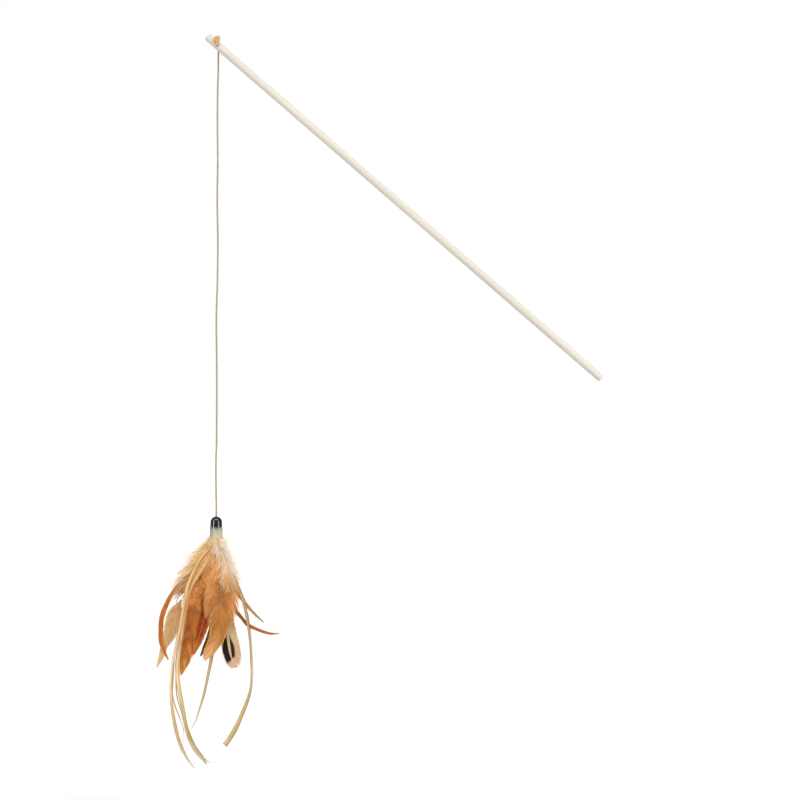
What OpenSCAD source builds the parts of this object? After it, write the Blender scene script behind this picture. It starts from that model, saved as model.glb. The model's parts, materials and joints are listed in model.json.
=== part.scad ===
// Cat teaser wand: a wooden rod, a length of twine and a lure of feathers and raffia under a bell cap.
// All lengths are in millimetres. The origin is the centre of the rod's butt end, +Z is up,
// and the wand is held as in use: rod slanting up to the left, twine and lure hanging straight down.

/* [Rod] */
// Length of the dowel
rod_length = 400; // [250:10:600]
// Diameter of the dowel
rod_d = 6; // [5:0.5:10]
// Angle between the held dowel and upright, in degrees
rod_lean = 49.3; // [30:0.1:60]
// Width of the broken edge at both ends of the dowel
rod_chamfer = 0.3; // [0.1:0.1:0.6]
// Distance from the dowel's tip to the cross hole
hole_inset = 10.5; // [8:0.5:30]
// Diameter of the cross hole
hole_d = 2; // [1.8:0.1:2.6]

/* [Twine] */
// Diameter of the twine
string_d = 1.4; // [1:0.1:1.6]
// Diameter of the stopper knot in front of the rod
knot_d = 4; // [3.6:0.1:4.6]
// Turns that show in the stopper knot
knot_turns = 4; // [3:1:5]
// Length of the twine's cut end that stands out of the stopper knot
knot_tail = 1.6; // [1:0.2:4]
// Height of the loose loop at the side of the stopper knot
knot_loop = 3.5; // [3:0.1:4.5]
// Diameter of the knot inside the cap
cap_knot_d = 3.8; // [3.2:0.1:4.2]
// Turns of the knot inside the cap
cap_knot_turns = 2; // [2:1:3]

/* [Cap] */
// Outer diameter of the bell cap
cap_d = 9; // [8.6:0.2:12]
// Height of the bell cap
cap_length = 15; // [13:0.5:18]
// Wall of the bell cap
cap_wall = 0.8; // [0.6:0.1:1]
// Hole in the cap's crown for the twine
crown_hole_d = 1.9; // [1.8:0.1:2.4]
// Depth of the glue from the top of the crown
glue_depth = 7; // [6.4:0.2:8]
// Height of the thread band that gathers the quills
binding_height = 3; // [2:0.5:4]
// Thickness of the thread band
binding_t = 0.4; // [0.3:0.1:0.6]

/* [Feathers] */
// Diameter of a quill
quill_d = 1; // [0.6:0.1:1.1]
// Thickness of a feather's vane
vane_t = 0.7; // [0.5:0.1:0.9]
// Distance between the layers that the feathers and strips fan out into
layer_gap = 2.2; // [1.8:0.1:2.6]
// Drop below the cap's mouth over which they fan out
fan_drop = 25; // [20:1:32]
// Length of the narrow bowed feather on the left
left_hackle_length = 118; // [100:2:130]
// Width of the narrow bowed feather on the left
left_hackle_width = 3.4; // [2:0.2:5]
// Length of the peach feather on the left
left_peach_length = 100; // [80:2:110]
// Width of the peach feather on the left
left_peach_width = 12; // [8:0.5:14]
// Length of the tan feather on the far left
left_tan_length = 122; // [100:2:135]
// Width of the tan feather on the far left
left_tan_width = 6; // [4:0.5:9]
// Length of the broad copper feather left of the middle
left_copper_length = 122; // [100:2:135]
// Width of the broad copper feather left of the middle
left_copper_width = 15; // [10:0.5:17]
// Length of the rust-red feather
rust_length = 106; // [90:2:118]
// Width of the rust-red feather
rust_width = 10; // [7:0.5:12]
// Length of the slim feather with a dark tip
slim_length = 108; // [90:2:118]
// Width of the slim feather with a dark tip
slim_width = 4; // [2.5:0.5:6]
// Length of the broad copper feather in the middle
middle_copper_length = 110; // [90:2:120]
// Width of the broad copper feather in the middle
middle_copper_width = 20; // [14:0.5:22]
// Length of the black and tan feather
black_tan_length = 117; // [100:2:130]
// Width of the black and tan feather
black_tan_width = 14; // [10:0.5:16]
// Length of the cream feather at the upper right
cream_length = 58; // [46:2:66]
// Width of the cream feather at the upper right
cream_width = 15; // [11:0.5:18]
// Length of the narrow feather that sweeps out to the right
right_hackle_length = 108; // [90:2:118]
// Width of the narrow feather that sweeps out to the right
right_hackle_width = 3; // [2:0.2:4]
// Length of the small dark-tipped feather on the right
right_dark_length = 92; // [76:2:102]
// Width of the small dark-tipped feather on the right
right_dark_width = 5; // [3:0.5:7]
// Length of the golden feather behind the raffia
golden_length = 74; // [60:2:84]
// Width of the golden feather behind the raffia
golden_width = 12; // [8:0.5:14]
// Length of the downy feather at the upper left
downy_length = 66; // [54:2:74]
// Width of the downy feather at the upper left
downy_width = 15; // [11:0.5:18]

/* [Raffia] */
// Width of a full raffia strip
raffia_width = 3.2; // [2.4:0.1:4]
// Thickness of a raffia strip
raffia_t = 0.4; // [0.3:0.1:0.5]
// Drop of the outer left strip below the cap's top
outer_left_drop = 192; // [160:2:210]
// Drop of the inner left strip below the cap's top
inner_left_drop = 189; // [160:2:210]
// Drop of the thin left strip below the cap's top
thin_left_drop = 168; // [140:2:190]
// Drop of the fine left strip below the cap's top
fine_left_drop = 155; // [130:2:175]
// Drop of the middle strip below the cap's top
middle_strip_drop = 164; // [140:2:185]
// Drop of the right strip below the cap's top
right_strip_drop = 177; // [150:2:200]

/* [Hidden] */
$fn = 48;

rod_r = rod_d / 2;
string_r = string_d / 2;
cap_r = cap_d / 2;
bore_r = cap_r - cap_wall;
// Running gap between pieces that turn on each other, and the gap of pieces that are pressed or glued
joint_gap = 0.15;
fit = 0.1;
// How far a cut runs past what it cuts
overrun = 1;

// Centre of the cross hole, where the twine passes from the knot in front to the drop behind
hole_along = rod_length - hole_inset;
hole_at = [-hole_along * sin(rod_lean), 0, hole_along * cos(rod_lean)];

// The twine leaves the hole at the back and turns down round an elbow of two diameters
elbow_r = 2 * string_d;
elbow_steps = 6;
string_sides = 8;
exit_y = rod_r + fit;
drop_y = exit_y + 2 * fit + elbow_r;

// Centreline of the hanging twine, measured from the hole across the rod: [x, y from its drop line, z].
// The upper stretch starts at the first bend below the elbow and the lower one ends at the cap.
upper_points = [
  [0, 0, -12], [0, 0, -20], [-0.3, 0, -30], [-0.5, 0.1, -58], [-0.1, 0.3, -88], [-0.4, 0.4, -118],
  [0.3, 0, -150], [0.1, -0.3, -180], [-0.6, -0.3, -210], [-0.2, 0, -240], [0, 0, -270], [0, 0, -290],
  [0, 0, -300]
];
lower_points = [[0, 0, -300], [0, 0, -306], [-0.5, 0.1, -320], [-0.3, 0, -338], [0, 0, -352], [0, 0, -359]];
string_ring_step = 4.8;
round_top_angles = [80, 55, 28];

bend_at = hole_at + [0, drop_y, 0] + upper_points[0];
lower_end = hole_at + [0, drop_y, 0] + lower_points[len(lower_points) - 1];
swing_at = lower_end - [0, 0, string_r + joint_gap];
// The cap's top hangs just under the point where the twine bends above it
cap_neck = string_d + fit;
cap_at = swing_at - [0, 0, cap_neck];

// The knot under the crown stands where the dome is just wide enough for it
cap_knot_top = -cap_r + sqrt(bore_r * bore_r - cap_knot_d * cap_knot_d / 4) - fit;

// The quills and raffia ends are packed in rows of a hexagon, one quill pitch apart
quill_pitch = (bore_r - binding_t - 2 * fit - quill_d / 2) / 2;
row_pitch = quill_pitch * sqrt(3) / 2;
bundle_r = 2 * quill_pitch + quill_d / 2;
ring_steps = 4;
// Sections of a feather, a hexagon, and of raffia, a rectangle, as shares of half width and thickness
feather_section_shares = [for (a = [0 : 60 : 300]) [cos(a), sin(a)]];
raffia_section_shares = [[1, 1], [-1, 1], [-1, -1], [1, -1]];
// How far the layers bow apart again, as a share of their distance, half way down the lure
fan_bow_share = 0.3;
lure_length = outer_left_drop;
// Height of one turn of a knot, as a share of the twine's diameter
turn_share = 1.2;
// Heights of the stopper knot's loop and cut end, as shares of the knot's height
loop_share = 0.6;
tail_share = 0.7;
// Thickness of the cut end, as a share of the twine, and its slope from upright in degrees
cut_end_share = 0.8;
cut_end_slope = 80;

// Catmull-Rom curve through rows of numbers, at t spans along the list
function row_at(rows, i) = rows[max(0, min(len(rows) - 1, i))];
function between(a, b, c, d, u) =
  (2 * b + (c - a) * u + (2 * a - 5 * b + 4 * c - d) * u * u + (3 * b - a - 3 * c + d) * u * u * u) / 2;
function curve_at(rows, t) =
  let (i = min(floor(t), len(rows) - 2), u = t - i)
  between(row_at(rows, i - 1), row_at(rows, i), row_at(rows, i + 1), row_at(rows, i + 2), u);
function unit(v) = v / norm(v);
function heading(points, i) =
  unit(points[min(i + 1, len(points) - 1)] - points[max(i - 1, 0)]);

// Closed skin over rings of equal size, each a list of points
module skin(rings) {
  sides = len(rings[0]);
  last = len(rings) - 1;
  walls = [
    for (i = [0 : last - 1], j = [0 : sides - 1])
      let (a = i * sides + j, b = i * sides + (j + 1) % sides)
      each [[a, b, b + sides], [a, b + sides, a + sides]]
  ];
  near_end = [for (j = [1 : sides - 2]) [0, j + 1, j]];
  far_end = [for (j = [1 : sides - 2]) [last * sides, last * sides + j, last * sides + j + 1]];
  polyhedron(points = [for (ring = rings) each ring], faces = concat(walls, near_end, far_end));
}

// Round section of the twine at one point of its centreline
function string_ring(at, along, r) =
  let (front = unit(cross([1, 0, 0], along)), side = cross(along, front))
  [for (j = [0 : string_sides - 1])
    let (a = j * 360 / string_sides)
    at + r * (cos(a) * side + sin(a) * front)];

function string_rings(points, r) =
  [for (i = [0 : len(points) - 1]) string_ring(points[i], heading(points, i), r)];

// Even points along a route, close to one ring step apart
function route_points(rows) =
  [for (i = [0 : len(rows) - 2])
    let (n = max(1, round(norm(rows[i + 1] - rows[i]) / string_ring_step)))
    for (k = [0 : n - 1]) curve_at(rows, i + k / n),
   rows[len(rows) - 1]];

// Rings that close the top of a hanging length as a half ball round its first point
function round_top(at, r) =
  [for (a = round_top_angles) string_ring(at + [0, 0, r * sin(a)], [0, 0, -1], r * cos(a))];

function knot_height(turns) = string_d * (1 + (turns - 1) * turn_share);

// A knot as turns of twine stacked on a core, standing on zero
module wound_knot(d, turns) {
  for (i = [0 : turns - 1])
    translate([0, 0, string_r + i * string_d * turn_share])
      rotate_extrude()
        translate([d / 2 - string_r, 0])
          circle(r = string_r);
  cylinder(r = d / 2 - string_r, h = knot_height(turns));
}

// Share of the way from its place in the bundle to its layer that a strand has gone at a drop
function fan_share(drop) =
  let (s = max(0, min(1, drop / fan_drop)))
  s * s * (3 - 2 * s) + fan_bow_share * sin(180 * max(0, min(1, drop / lure_length)));

// One feather or strip of raffia, from rows of shares [x, z, width, turn]: x and z are shares of its length
// from the middle of the cap's mouth, width is a share of its full width and turn is in degrees.
// spot is its column and row in the bundle, and layer the layer that it fans out into.
module strand(length, width, thick, root_thick, spot, layer, section, shares) {
  root = [spot[0] * quill_pitch, spot[1] * row_pitch];
  root_w = min(quill_d, width);
  seat = glue_depth + fit - cap_length;
  rows = concat(
    [[root[0], 0, root_w, 0]],
    [for (s = shares) [s[0] * length, s[1] * (length - cap_length), width * s[2], s[3]]]
  );
  steps = (len(rows) - 1) * ring_steps;
  samples = concat(
    [[root[0], seat, root_w, 0], [root[0], seat / 2, root_w, 0]],
    [for (i = [0 : steps]) curve_at(rows, i / ring_steps)]
  );
  count = len(samples) - 1;
  points = [
    for (s = samples)
      [s[0], root[1] + (layer * layer_gap - root[1]) * fan_share(s[1]), -cap_length - s[1]]
  ];
  rings = [
    for (i = [0 : count])
      let (
        along = heading(points, i),
        flat_side = unit(cross(along, [0, 1, 0])),
        flat_front = cross(flat_side, along),
        turn = samples[i][3],
        side = flat_side * cos(turn) + flat_front * sin(turn),
        front = flat_front * cos(turn) - flat_side * sin(turn),
        w = max(samples[i][2], thick / 2),
        t = min(w, max(thick, root_thick * (1 - i / count)))
      )
      [for (corner = section)
        points[i] + side * corner[0] * w / 2 + front * corner[1] * t / 2]
  ];
  translate(cap_at)
    skin(rings);
}

module feather(length, width, spot, layer, shares) {
  strand(length, width, vane_t, quill_d, spot, layer, feather_section_shares, shares);
}

module raffia(drop, width_share, spot, layer, shares) {
  strand(drop, raffia_width * width_share, raffia_t, raffia_t, spot, layer, raffia_section_shares, shares);
}

module rod() {
  color("#e6d7be")
    difference() {
      rotate([0, -rod_lean, 0])
        rotate_extrude()
          polygon([
            [0, 0],
            [rod_r - rod_chamfer, 0],
            [rod_r, rod_chamfer],
            [rod_r, rod_length - rod_chamfer],
            [rod_r - rod_chamfer, rod_length],
            [0, rod_length]
          ]);
      translate(hole_at)
        rotate([90, 0, 0])
          cylinder(d = hole_d, h = rod_d + 2 * overrun, center = true);
    }
}

// Knot that stands in front of the hole, with the twine that runs through the rod to the back
module stopper_knot() {
  knot_y = -rod_r - fit - knot_d / 2;
  tall = knot_height(knot_turns);
  color("#b98a52")
    translate(hole_at) {
      translate([0, knot_y, 0]) {
        wound_knot(knot_d, knot_turns);
        sphere(r = string_r);
        translate([-knot_d / 2, 0, tall * loop_share])
          rotate([90, 0, 0])
            rotate_extrude()
              translate([knot_loop / 2 - string_r, 0])
                circle(r = string_r);
        translate([0, 0, tall * tail_share])
          rotate([0, cut_end_slope, 0])
            cylinder(r = string_r * cut_end_share, h = knot_d / 2 + knot_tail);
      }
      rotate([90, 0, 0])
        translate([0, 0, -rod_r])
          cylinder(r = string_r, h = rod_r - knot_y);
    }
}

// Twine from the back of the hole round its elbow to the first bend
module string_neck() {
  start = hole_at + [0, exit_y, 0];
  turn_at = hole_at + [0, drop_y - elbow_r, -elbow_r];
  elbow = [
    for (k = [0 : elbow_steps])
      let (a = 90 * k / elbow_steps)
      turn_at + elbow_r * [0, sin(a), cos(a)]
  ];
  end = bend_at + [0, 0, string_r + joint_gap];
  middle = (elbow[elbow_steps] + end) / 2;
  color("#b4a291")
    skin(string_rings(concat([start], elbow, [middle, end]), string_r));
}

module string_upper() {
  points = [for (p = route_points(upper_points)) hole_at + [0, drop_y, 0] + p];
  color("#b4a291")
    skin(concat(round_top(bend_at, string_r), string_rings(points, string_r)));
}

module string_lower() {
  base = hole_at + [0, drop_y, 0];
  rest = [for (i = [1 : len(lower_points) - 1]) lower_points[i]];
  lowered = concat([lower_points[0] - [0, 0, joint_gap]], rest);
  color("#b4a291")
    skin(string_rings([for (p = route_points(lowered)) base + p], string_r));
}

// End of the twine, which passes through the crown and is knotted under it
module cap_knot() {
  color("#b4a291")
    translate(cap_at) {
      translate([0, 0, cap_neck])
        sphere(r = string_r);
      translate([0, 0, cap_knot_top - string_r])
        cylinder(r = string_r, h = cap_neck - cap_knot_top + string_r);
      translate([0, 0, cap_knot_top - knot_height(cap_knot_turns)])
        wound_knot(cap_knot_d, cap_knot_turns);
    }
}

// Bell cap: a domed crown on straight walls, with a rounded mouth and a hole for the twine
module end_cap() {
  mouth_r = cap_wall / 2;
  color("#151515")
    translate(cap_at)
      difference() {
        union() {
          translate([0, 0, -cap_r])
            sphere(r = cap_r);
          translate([0, 0, -cap_length + mouth_r])
            cylinder(r = cap_r, h = cap_length - cap_r - mouth_r);
          translate([0, 0, -cap_length + mouth_r])
            rotate_extrude()
              translate([cap_r - mouth_r, 0])
                circle(r = mouth_r);
        }
        translate([0, 0, -cap_r])
          sphere(r = bore_r);
        translate([0, 0, -cap_length - overrun])
          cylinder(r = bore_r, h = cap_length - cap_r + overrun);
        translate([0, 0, -cap_r])
          cylinder(d = crown_hole_d, h = cap_r + overrun);
      }
}

// Hardened glue that fills the crown round the knot
module glue_plug() {
  plug_r = bore_r - fit;
  color("#cfc9b4")
    translate(cap_at)
      difference() {
        union() {
          intersection() {
            translate([0, 0, -cap_r])
              sphere(r = plug_r);
            translate([0, 0, -cap_r])
              cylinder(r = cap_r, h = cap_r);
          }
          translate([0, 0, -glue_depth])
            cylinder(r = plug_r, h = glue_depth - cap_r);
        }
        translate([0, 0, cap_knot_top - knot_height(cap_knot_turns) - fit])
          cylinder(d = cap_knot_d + 2 * fit, h = glue_depth);
      }
}

module quill_binding() {
  color("#8c7a5c")
    translate(cap_at + [0, 0, -(glue_depth + cap_length) / 2 - binding_height / 2])
      difference() {
        cylinder(r = bundle_r + fit + binding_t, h = binding_height);
        translate([0, 0, -overrun])
          cylinder(r = bundle_r + fit, h = binding_height + 2 * overrun);
      }
}

module left_hackle_feather() {
  shares = [
    [-0.05, 0.14, 0.3, 0], [-0.18, 0.31, 0.8, 0], [-0.26, 0.39, 1, 0],
    [-0.34, 0.58, 1, 0], [-0.35, 0.76, 0.95, 0], [-0.33, 0.85, 0.7, 0], [-0.3, 0.92, 0.15, 0]
  ];
  color("#b0652c")
    feather(left_hackle_length, left_hackle_width, [-1.5, -1], -3, shares);
}

module left_peach_feather() {
  shares = [
    [-0.06, 0.16, 0.1, 0], [-0.2, 0.44, 0.5, 0], [-0.3, 0.66, 0.9, 0],
    [-0.34, 0.82, 1, 0], [-0.36, 0.93, 0.7, 0], [-0.37, 1, 0.12, 0]
  ];
  color("#dcae80")
    feather(left_peach_length, left_peach_width, [-0.5, 1], 1, shares);
}

module left_tan_feather() {
  shares = [
    [-0.06, 0.14, 0.2, 0], [-0.21, 0.35, 0.7, 0], [-0.27, 0.54, 1, 0],
    [-0.32, 0.74, 1, 0], [-0.35, 0.87, 0.75, 0], [-0.38, 0.96, 0.12, 0]
  ];
  color("#e0c39a")
    feather(left_tan_length, left_tan_width, [-1, 2], 4, shares);
}

module left_copper_feather() {
  shares = [
    [-0.06, 0.13, 0.08, 0], [-0.1, 0.3, 0.5, 0], [-0.135, 0.5, 0.85, 0],
    [-0.165, 0.7, 1, 0], [-0.19, 0.86, 0.8, 0], [-0.215, 1, 0.06, 0]
  ];
  color("#bd7440")
    feather(left_copper_length, left_copper_width, [-2, 0], -1, shares);
}

module rust_feather() {
  shares = [
    [-0.01, 0.15, 0.1, 0], [-0.02, 0.36, 0.5, 0], [-0.05, 0.54, 0.9, 0],
    [-0.09, 0.74, 1, 0], [-0.125, 0.88, 0.7, 0], [-0.155, 1, 0.08, 0]
  ];
  color("#9c4a1e")
    feather(rust_length, rust_width, [-0.5, -1], -2, shares);
}

module slim_feather() {
  shares = [
    [0, 0.15, 0.25, 0], [0.01, 0.5, 0.7, 0], [-0.04, 0.8, 1, 0],
    [-0.08, 0.92, 0.7, 0], [-0.11, 1, 0.15, 0]
  ];
  color("#8a5a3c")
    feather(slim_length, slim_width, [0, 0], 1, shares);
}

module middle_copper_feather() {
  shares = [
    [0.01, 0.14, 0.06, 0], [0.035, 0.3, 0.5, 0], [0.044, 0.45, 0.85, 0], [0.04, 0.6, 1, 0],
    [0.033, 0.72, 0.73, 0], [0.012, 0.82, 0.62, 0], [-0.021, 0.89, 0.5, 0], [-0.055, 0.955, 0.34, 0],
    [-0.074, 1, 0.06, 0]
  ];
  color("#c3824a")
    feather(middle_copper_length, middle_copper_width, [0.5, -1], -3, shares);
}

module black_tan_feather() {
  shares = [
    [0.03, 0.16, 0.08, 0], [0.06, 0.42, 0.4, 0], [0.078, 0.66, 0.75, 0], [0.098, 0.83, 1, 0],
    [0.116, 0.93, 0.92, 0], [0.123, 0.975, 0.68, 0], [0.126, 0.995, 0.36, 0]
  ];
  color("#3a3028")
    feather(black_tan_length, black_tan_width, [1, 0], 0, shares);
}

module cream_feather() {
  shares = [
    [0.05, 0.16, 0.12, 0], [0.138, 0.463, 0.65, 0], [0.164, 0.71, 1, 0], [0.178, 0.872, 0.85, 0],
    [0.183, 0.98, 0.25, 0]
  ];
  color("#e8dcc4")
    feather(cream_length, cream_width, [1, -2], -4, shares);
}

module right_hackle_feather() {
  shares = [
    [0.045, 0.17, 0.3, 0], [0.095, 0.44, 0.7, 0], [0.13, 0.58, 1, 0], [0.19, 0.675, 1, 0],
    [0.24, 0.735, 1, 0], [0.37, 0.795, 0.8, 0], [0.455, 0.8, 0.15, 0]
  ];
  color("#a8612f")
    feather(right_hackle_length, right_hackle_width, [1.5, -1], -2, shares);
}

module right_dark_feather() {
  shares = [
    [0.06, 0.2, 0.15, 0], [0.17, 0.52, 0.7, 0], [0.25, 0.67, 1, 0],
    [0.33, 0.78, 0.6, 0], [0.405, 0.86, 0.12, 0]
  ];
  color("#a08a6c")
    feather(right_dark_length, right_dark_width, [2, 0], -1, shares);
}

module golden_feather() {
  shares = [
    [-0.04, 0.16, 0.1, 0], [-0.12, 0.44, 0.75, 0], [-0.2, 0.73, 1, 0],
    [-0.25, 0.87, 0.65, 0], [-0.285, 0.94, 0.12, 0]
  ];
  color("#d09a52")
    feather(golden_length, golden_width, [-1, 0], 0, shares);
}

module downy_feather() {
  shares = [
    [-0.088, 0.18, 0.1, 0], [-0.17, 0.39, 0.6, 0], [-0.262, 0.63, 1, 0], [-0.321, 0.78, 0.75, 0],
    [-0.364, 0.88, 0.15, 0]
  ];
  color("#d8cdb4")
    feather(downy_length, downy_width, [-1.5, 1], 3, shares);
}

module outer_left_raffia() {
  shares = [
    [-0.022, 0.05, 0.5, 20], [-0.062, 0.106, 1, 30], [-0.104, 0.206, 1, 20], [-0.116, 0.266, 0.95, 0],
    [-0.134, 0.387, 0.85, 20], [-0.155, 0.494, 0.7, 30], [-0.166, 0.567, 0.65, 40],
    [-0.171, 0.667, 0.65, 30], [-0.161, 0.775, 0.7, 20], [-0.139, 0.879, 0.75, 20],
    [-0.11, 0.949, 0.7, 20], [-0.077, 1, 0.5, 20]
  ];
  color("#d9b778")
    raffia(outer_left_drop, 1, [-1, -2], -5, shares);
}

module inner_left_raffia() {
  shares = [
    [-0.008, 0.05, 0.5, 0], [-0.042, 0.124, 0.8, 0], [-0.097, 0.23, 0.8, 20], [-0.121, 0.352, 0.8, 30],
    [-0.134, 0.445, 0.85, 20], [-0.15, 0.546, 0.95, 0], [-0.15, 0.634, 1, 0], [-0.138, 0.722, 1, 0],
    [-0.114, 0.833, 0.95, 0], [-0.076, 0.932, 0.9, 0], [-0.039, 1, 0.55, 0]
  ];
  color("#dcbc80")
    raffia(inner_left_drop, 1, [0, -2], -4, shares);
}

module thin_left_raffia() {
  shares = [
    [-0.018, 0.06, 0.6, 0], [-0.1, 0.22, 1, 0], [-0.149, 0.378, 1, 0], [-0.181, 0.536, 1, 0],
    [-0.199, 0.771, 1, 0], [-0.197, 0.822, 1, 0], [-0.179, 0.879, 1, 0], [-0.158, 0.935, 1, 0],
    [-0.136, 1, 0.5, 0]
  ];
  color("#cda86a")
    raffia(thin_left_drop, 0.45, [0, 2], 5, shares);
}

module fine_left_raffia() {
  shares = [
    [0.004, 0.07, 0.7, 0], [-0.065, 0.18, 1, 0], [-0.12, 0.296, 1, 0], [-0.156, 0.487, 1, 0],
    [-0.191, 0.68, 1, 0], [-0.193, 0.789, 1, 0], [-0.188, 0.898, 1, 0], [-0.161, 1, 0.5, 0]
  ];
  color("#c9a467")
    raffia(fine_left_drop, 0.4, [1, 2], 6, shares);
}

module middle_raffia() {
  shares = [
    [0.006, 0.06, 0.4, 0], [0.01, 0.3, 1, 0], [0, 0.5, 1, 20], [-0.012, 0.62, 1, 30],
    [-0.032, 0.72, 0.9, 50], [-0.068, 0.87, 0.8, 60], [-0.115, 1, 0.4, 60]
  ];
  color("#c8a262")
    raffia(middle_strip_drop, 0.9, [0.5, 1], 2, shares);
}

module right_raffia() {
  shares = [
    [0.02, 0.06, 0.5, 0], [0.05, 0.12, 0.7, 0], [0.083, 0.2, 0.8, 30], [0.119, 0.29, 0.9, 40],
    [0.143, 0.4, 0.9, 50], [0.158, 0.54, 0.8, 60], [0.161, 0.69, 0.9, 50],
    [0.144, 0.78, 0.95, 20], [0.09, 0.92, 0.95, 0], [0.044, 1, 0.95, 0]
  ];
  color("#d2ae70")
    raffia(right_strip_drop, 1, [1.5, 1], 2, shares);
}

rod();
stopper_knot();
string_neck();
string_upper();
string_lower();
cap_knot();
end_cap();
glue_plug();
quill_binding();
left_hackle_feather();
left_peach_feather();
left_tan_feather();
left_copper_feather();
rust_feather();
slim_feather();
middle_copper_feather();
black_tan_feather();
cream_feather();
right_hackle_feather();
right_dark_feather();
golden_feather();
downy_feather();
outer_left_raffia();
inner_left_raffia();
thin_left_raffia();
fine_left_raffia();
middle_raffia();
right_raffia();
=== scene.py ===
import json
import math
import random

import bmesh
import bpy
import numpy as np
from mathutils import Matrix, Vector


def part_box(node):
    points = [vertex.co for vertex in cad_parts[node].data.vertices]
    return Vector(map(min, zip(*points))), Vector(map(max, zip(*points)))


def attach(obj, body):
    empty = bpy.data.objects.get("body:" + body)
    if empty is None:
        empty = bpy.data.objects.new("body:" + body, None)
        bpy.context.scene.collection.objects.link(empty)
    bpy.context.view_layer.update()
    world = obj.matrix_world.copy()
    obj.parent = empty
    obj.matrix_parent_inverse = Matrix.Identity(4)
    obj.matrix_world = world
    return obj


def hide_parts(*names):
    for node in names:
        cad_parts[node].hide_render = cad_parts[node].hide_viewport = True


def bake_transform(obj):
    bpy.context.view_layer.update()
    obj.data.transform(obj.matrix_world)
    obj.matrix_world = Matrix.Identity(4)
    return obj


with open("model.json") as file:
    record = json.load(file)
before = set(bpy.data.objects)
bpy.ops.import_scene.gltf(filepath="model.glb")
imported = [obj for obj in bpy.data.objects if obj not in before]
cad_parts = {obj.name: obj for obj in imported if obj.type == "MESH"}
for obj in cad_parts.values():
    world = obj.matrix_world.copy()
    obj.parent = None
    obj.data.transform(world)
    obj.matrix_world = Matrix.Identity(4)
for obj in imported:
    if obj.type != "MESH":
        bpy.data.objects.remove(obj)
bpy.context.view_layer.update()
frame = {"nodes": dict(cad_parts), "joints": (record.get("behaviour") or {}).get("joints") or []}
mm = 0.001
joint = {item["name"]: Vector(item["pos_m"]) for item in frame["joints"]}
hole = joint["string_swing"]  # middle of the rod's cross hole
dropY = joint["string_sweep"].y  # the twine hangs this far behind the rod's middle
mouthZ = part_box("end_cap")[0].z  # lower rim of the cap
lureZ = min(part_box(name)[0].z for name in frame["nodes"])
print("frame loaded")


# sRGB hex to the linear colour that Blender's sockets take
def hexColor(code, alpha=1.0):
    parts = [int(code[i:i + 2], 16) / 255 for i in (1, 3, 5)]
    return [p / 12.92 if p <= 0.04045 else ((p + 0.055) / 1.055) ** 2.4 for p in parts] + [alpha]


# Adds one node: inputs are values or sockets to link, stops are a colour ramp's (place, hex) pairs
def addNode(tree, kind, inputs=None, stops=None, **settings):
    node = tree.nodes.new(kind)
    for name, value in settings.items():
        setattr(node, name, value)
    for name, value in (inputs or {}).items():
        if isinstance(value, bpy.types.NodeSocket):
            tree.links.new(value, node.inputs[name])
        else:
            node.inputs[name].default_value = value
    if stops:
        points = node.color_ramp.elements
        points.remove(points[1])
        for place, code in stops[1:]:
            points.new(place).color = hexColor(code)
        points[0].position = stops[0][0]
        points[0].color = hexColor(stops[0][1])
    return node


def newMaterial(name):
    material = bpy.data.materials.new(name)
    material.use_nodes = True
    material.node_tree.nodes.clear()
    return material, material.node_tree


# Links a surface made of Principled settings to the material's output
def finishMaterial(tree, inputs):
    shader = addNode(tree, "ShaderNodeBsdfPrincipled", inputs)
    addNode(tree, "ShaderNodeOutputMaterial", {"Surface": shader.outputs["BSDF"]})
    return shader


# Camera, light and floor
view = {
    "width": 613.6 * mm,  # width of the picture at the rod
    "middle": Vector((141.0, 0, -271.1)) * mm,  # middle of the picture, from the cross hole
    "roll": 0.256,  # degrees: the photograph's plumb line leans this much
    "lens": 100.0,
    "sensor": 36.0,
}


def makeCamera():
    data = bpy.data.cameras.new("camera")
    data.lens = view["lens"]
    data.sensor_width = view["sensor"]
    camera = bpy.data.objects.new("camera", data)
    bpy.context.scene.collection.objects.link(camera)
    away = view["width"] * view["lens"] / view["sensor"]
    place = Matrix.Translation(hole + view["middle"] - Vector((0, away, 0)))
    turn = Matrix.Rotation(math.radians(90), 4, "X") @ Matrix.Rotation(math.radians(view["roll"]), 4, "Z")
    camera.matrix_world = place @ turn
    bpy.context.scene.camera = camera


suns = [
    # name, direction it shines from, strength, softness in degrees, the only node that it lights
    ("keySun", (0.6, -0.85, 0.9), 1.9, 24, None),
    ("fillSun", (-0.35, -1.0, 0.2), 1.05, 40, None),
    ("backSun", (0.1, 1.0, 0.5), 0.5, 40, None),
    ("edgeSun", (0.75, 0.25, 0.9), 0.3, 30, "rod"),
    ("lowSun", (-0.7, -0.6, -0.5), 0.55, 30, "rod"),
]
panels = [
    # name, place from the cap, size across and up, watts: they draw the stripes on the cap and light it alone
    ("leftPanel", (-0.77, -0.64, 0.2), (0.26, 1.5), 75),
    ("rightPanel", (0.79, -0.62, 0.15), (0.4, 0.7), 30),
    ("topPanel", (0.1, -0.45, 0.9), (1.0, 0.12), 40),
]
studio = {
    "floorDrop": 60 * mm,  # from the lure's lowest point to the floor
    "floorSize": 14.0,
    "world": "#ffffff",
    "worldLight": 0.42,
    "paper": "#f4f4f4",
    "paperGlow": 0.22,
}


# One for rays from the camera, reflections and rays through a piece, and zero for light on the part
def seenDirectly(tree):
    rays = addNode(tree, "ShaderNodeLightPath").outputs
    first = addNode(tree, "ShaderNodeMath", {0: rays["Is Camera Ray"], 1: rays["Is Glossy Ray"]},
                    operation="ADD")
    both = addNode(tree, "ShaderNodeMath", {0: first.outputs[0], 1: rays["Is Transmission Ray"]},
                   operation="ADD", use_clamp=True)
    return both.outputs[0]


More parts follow.
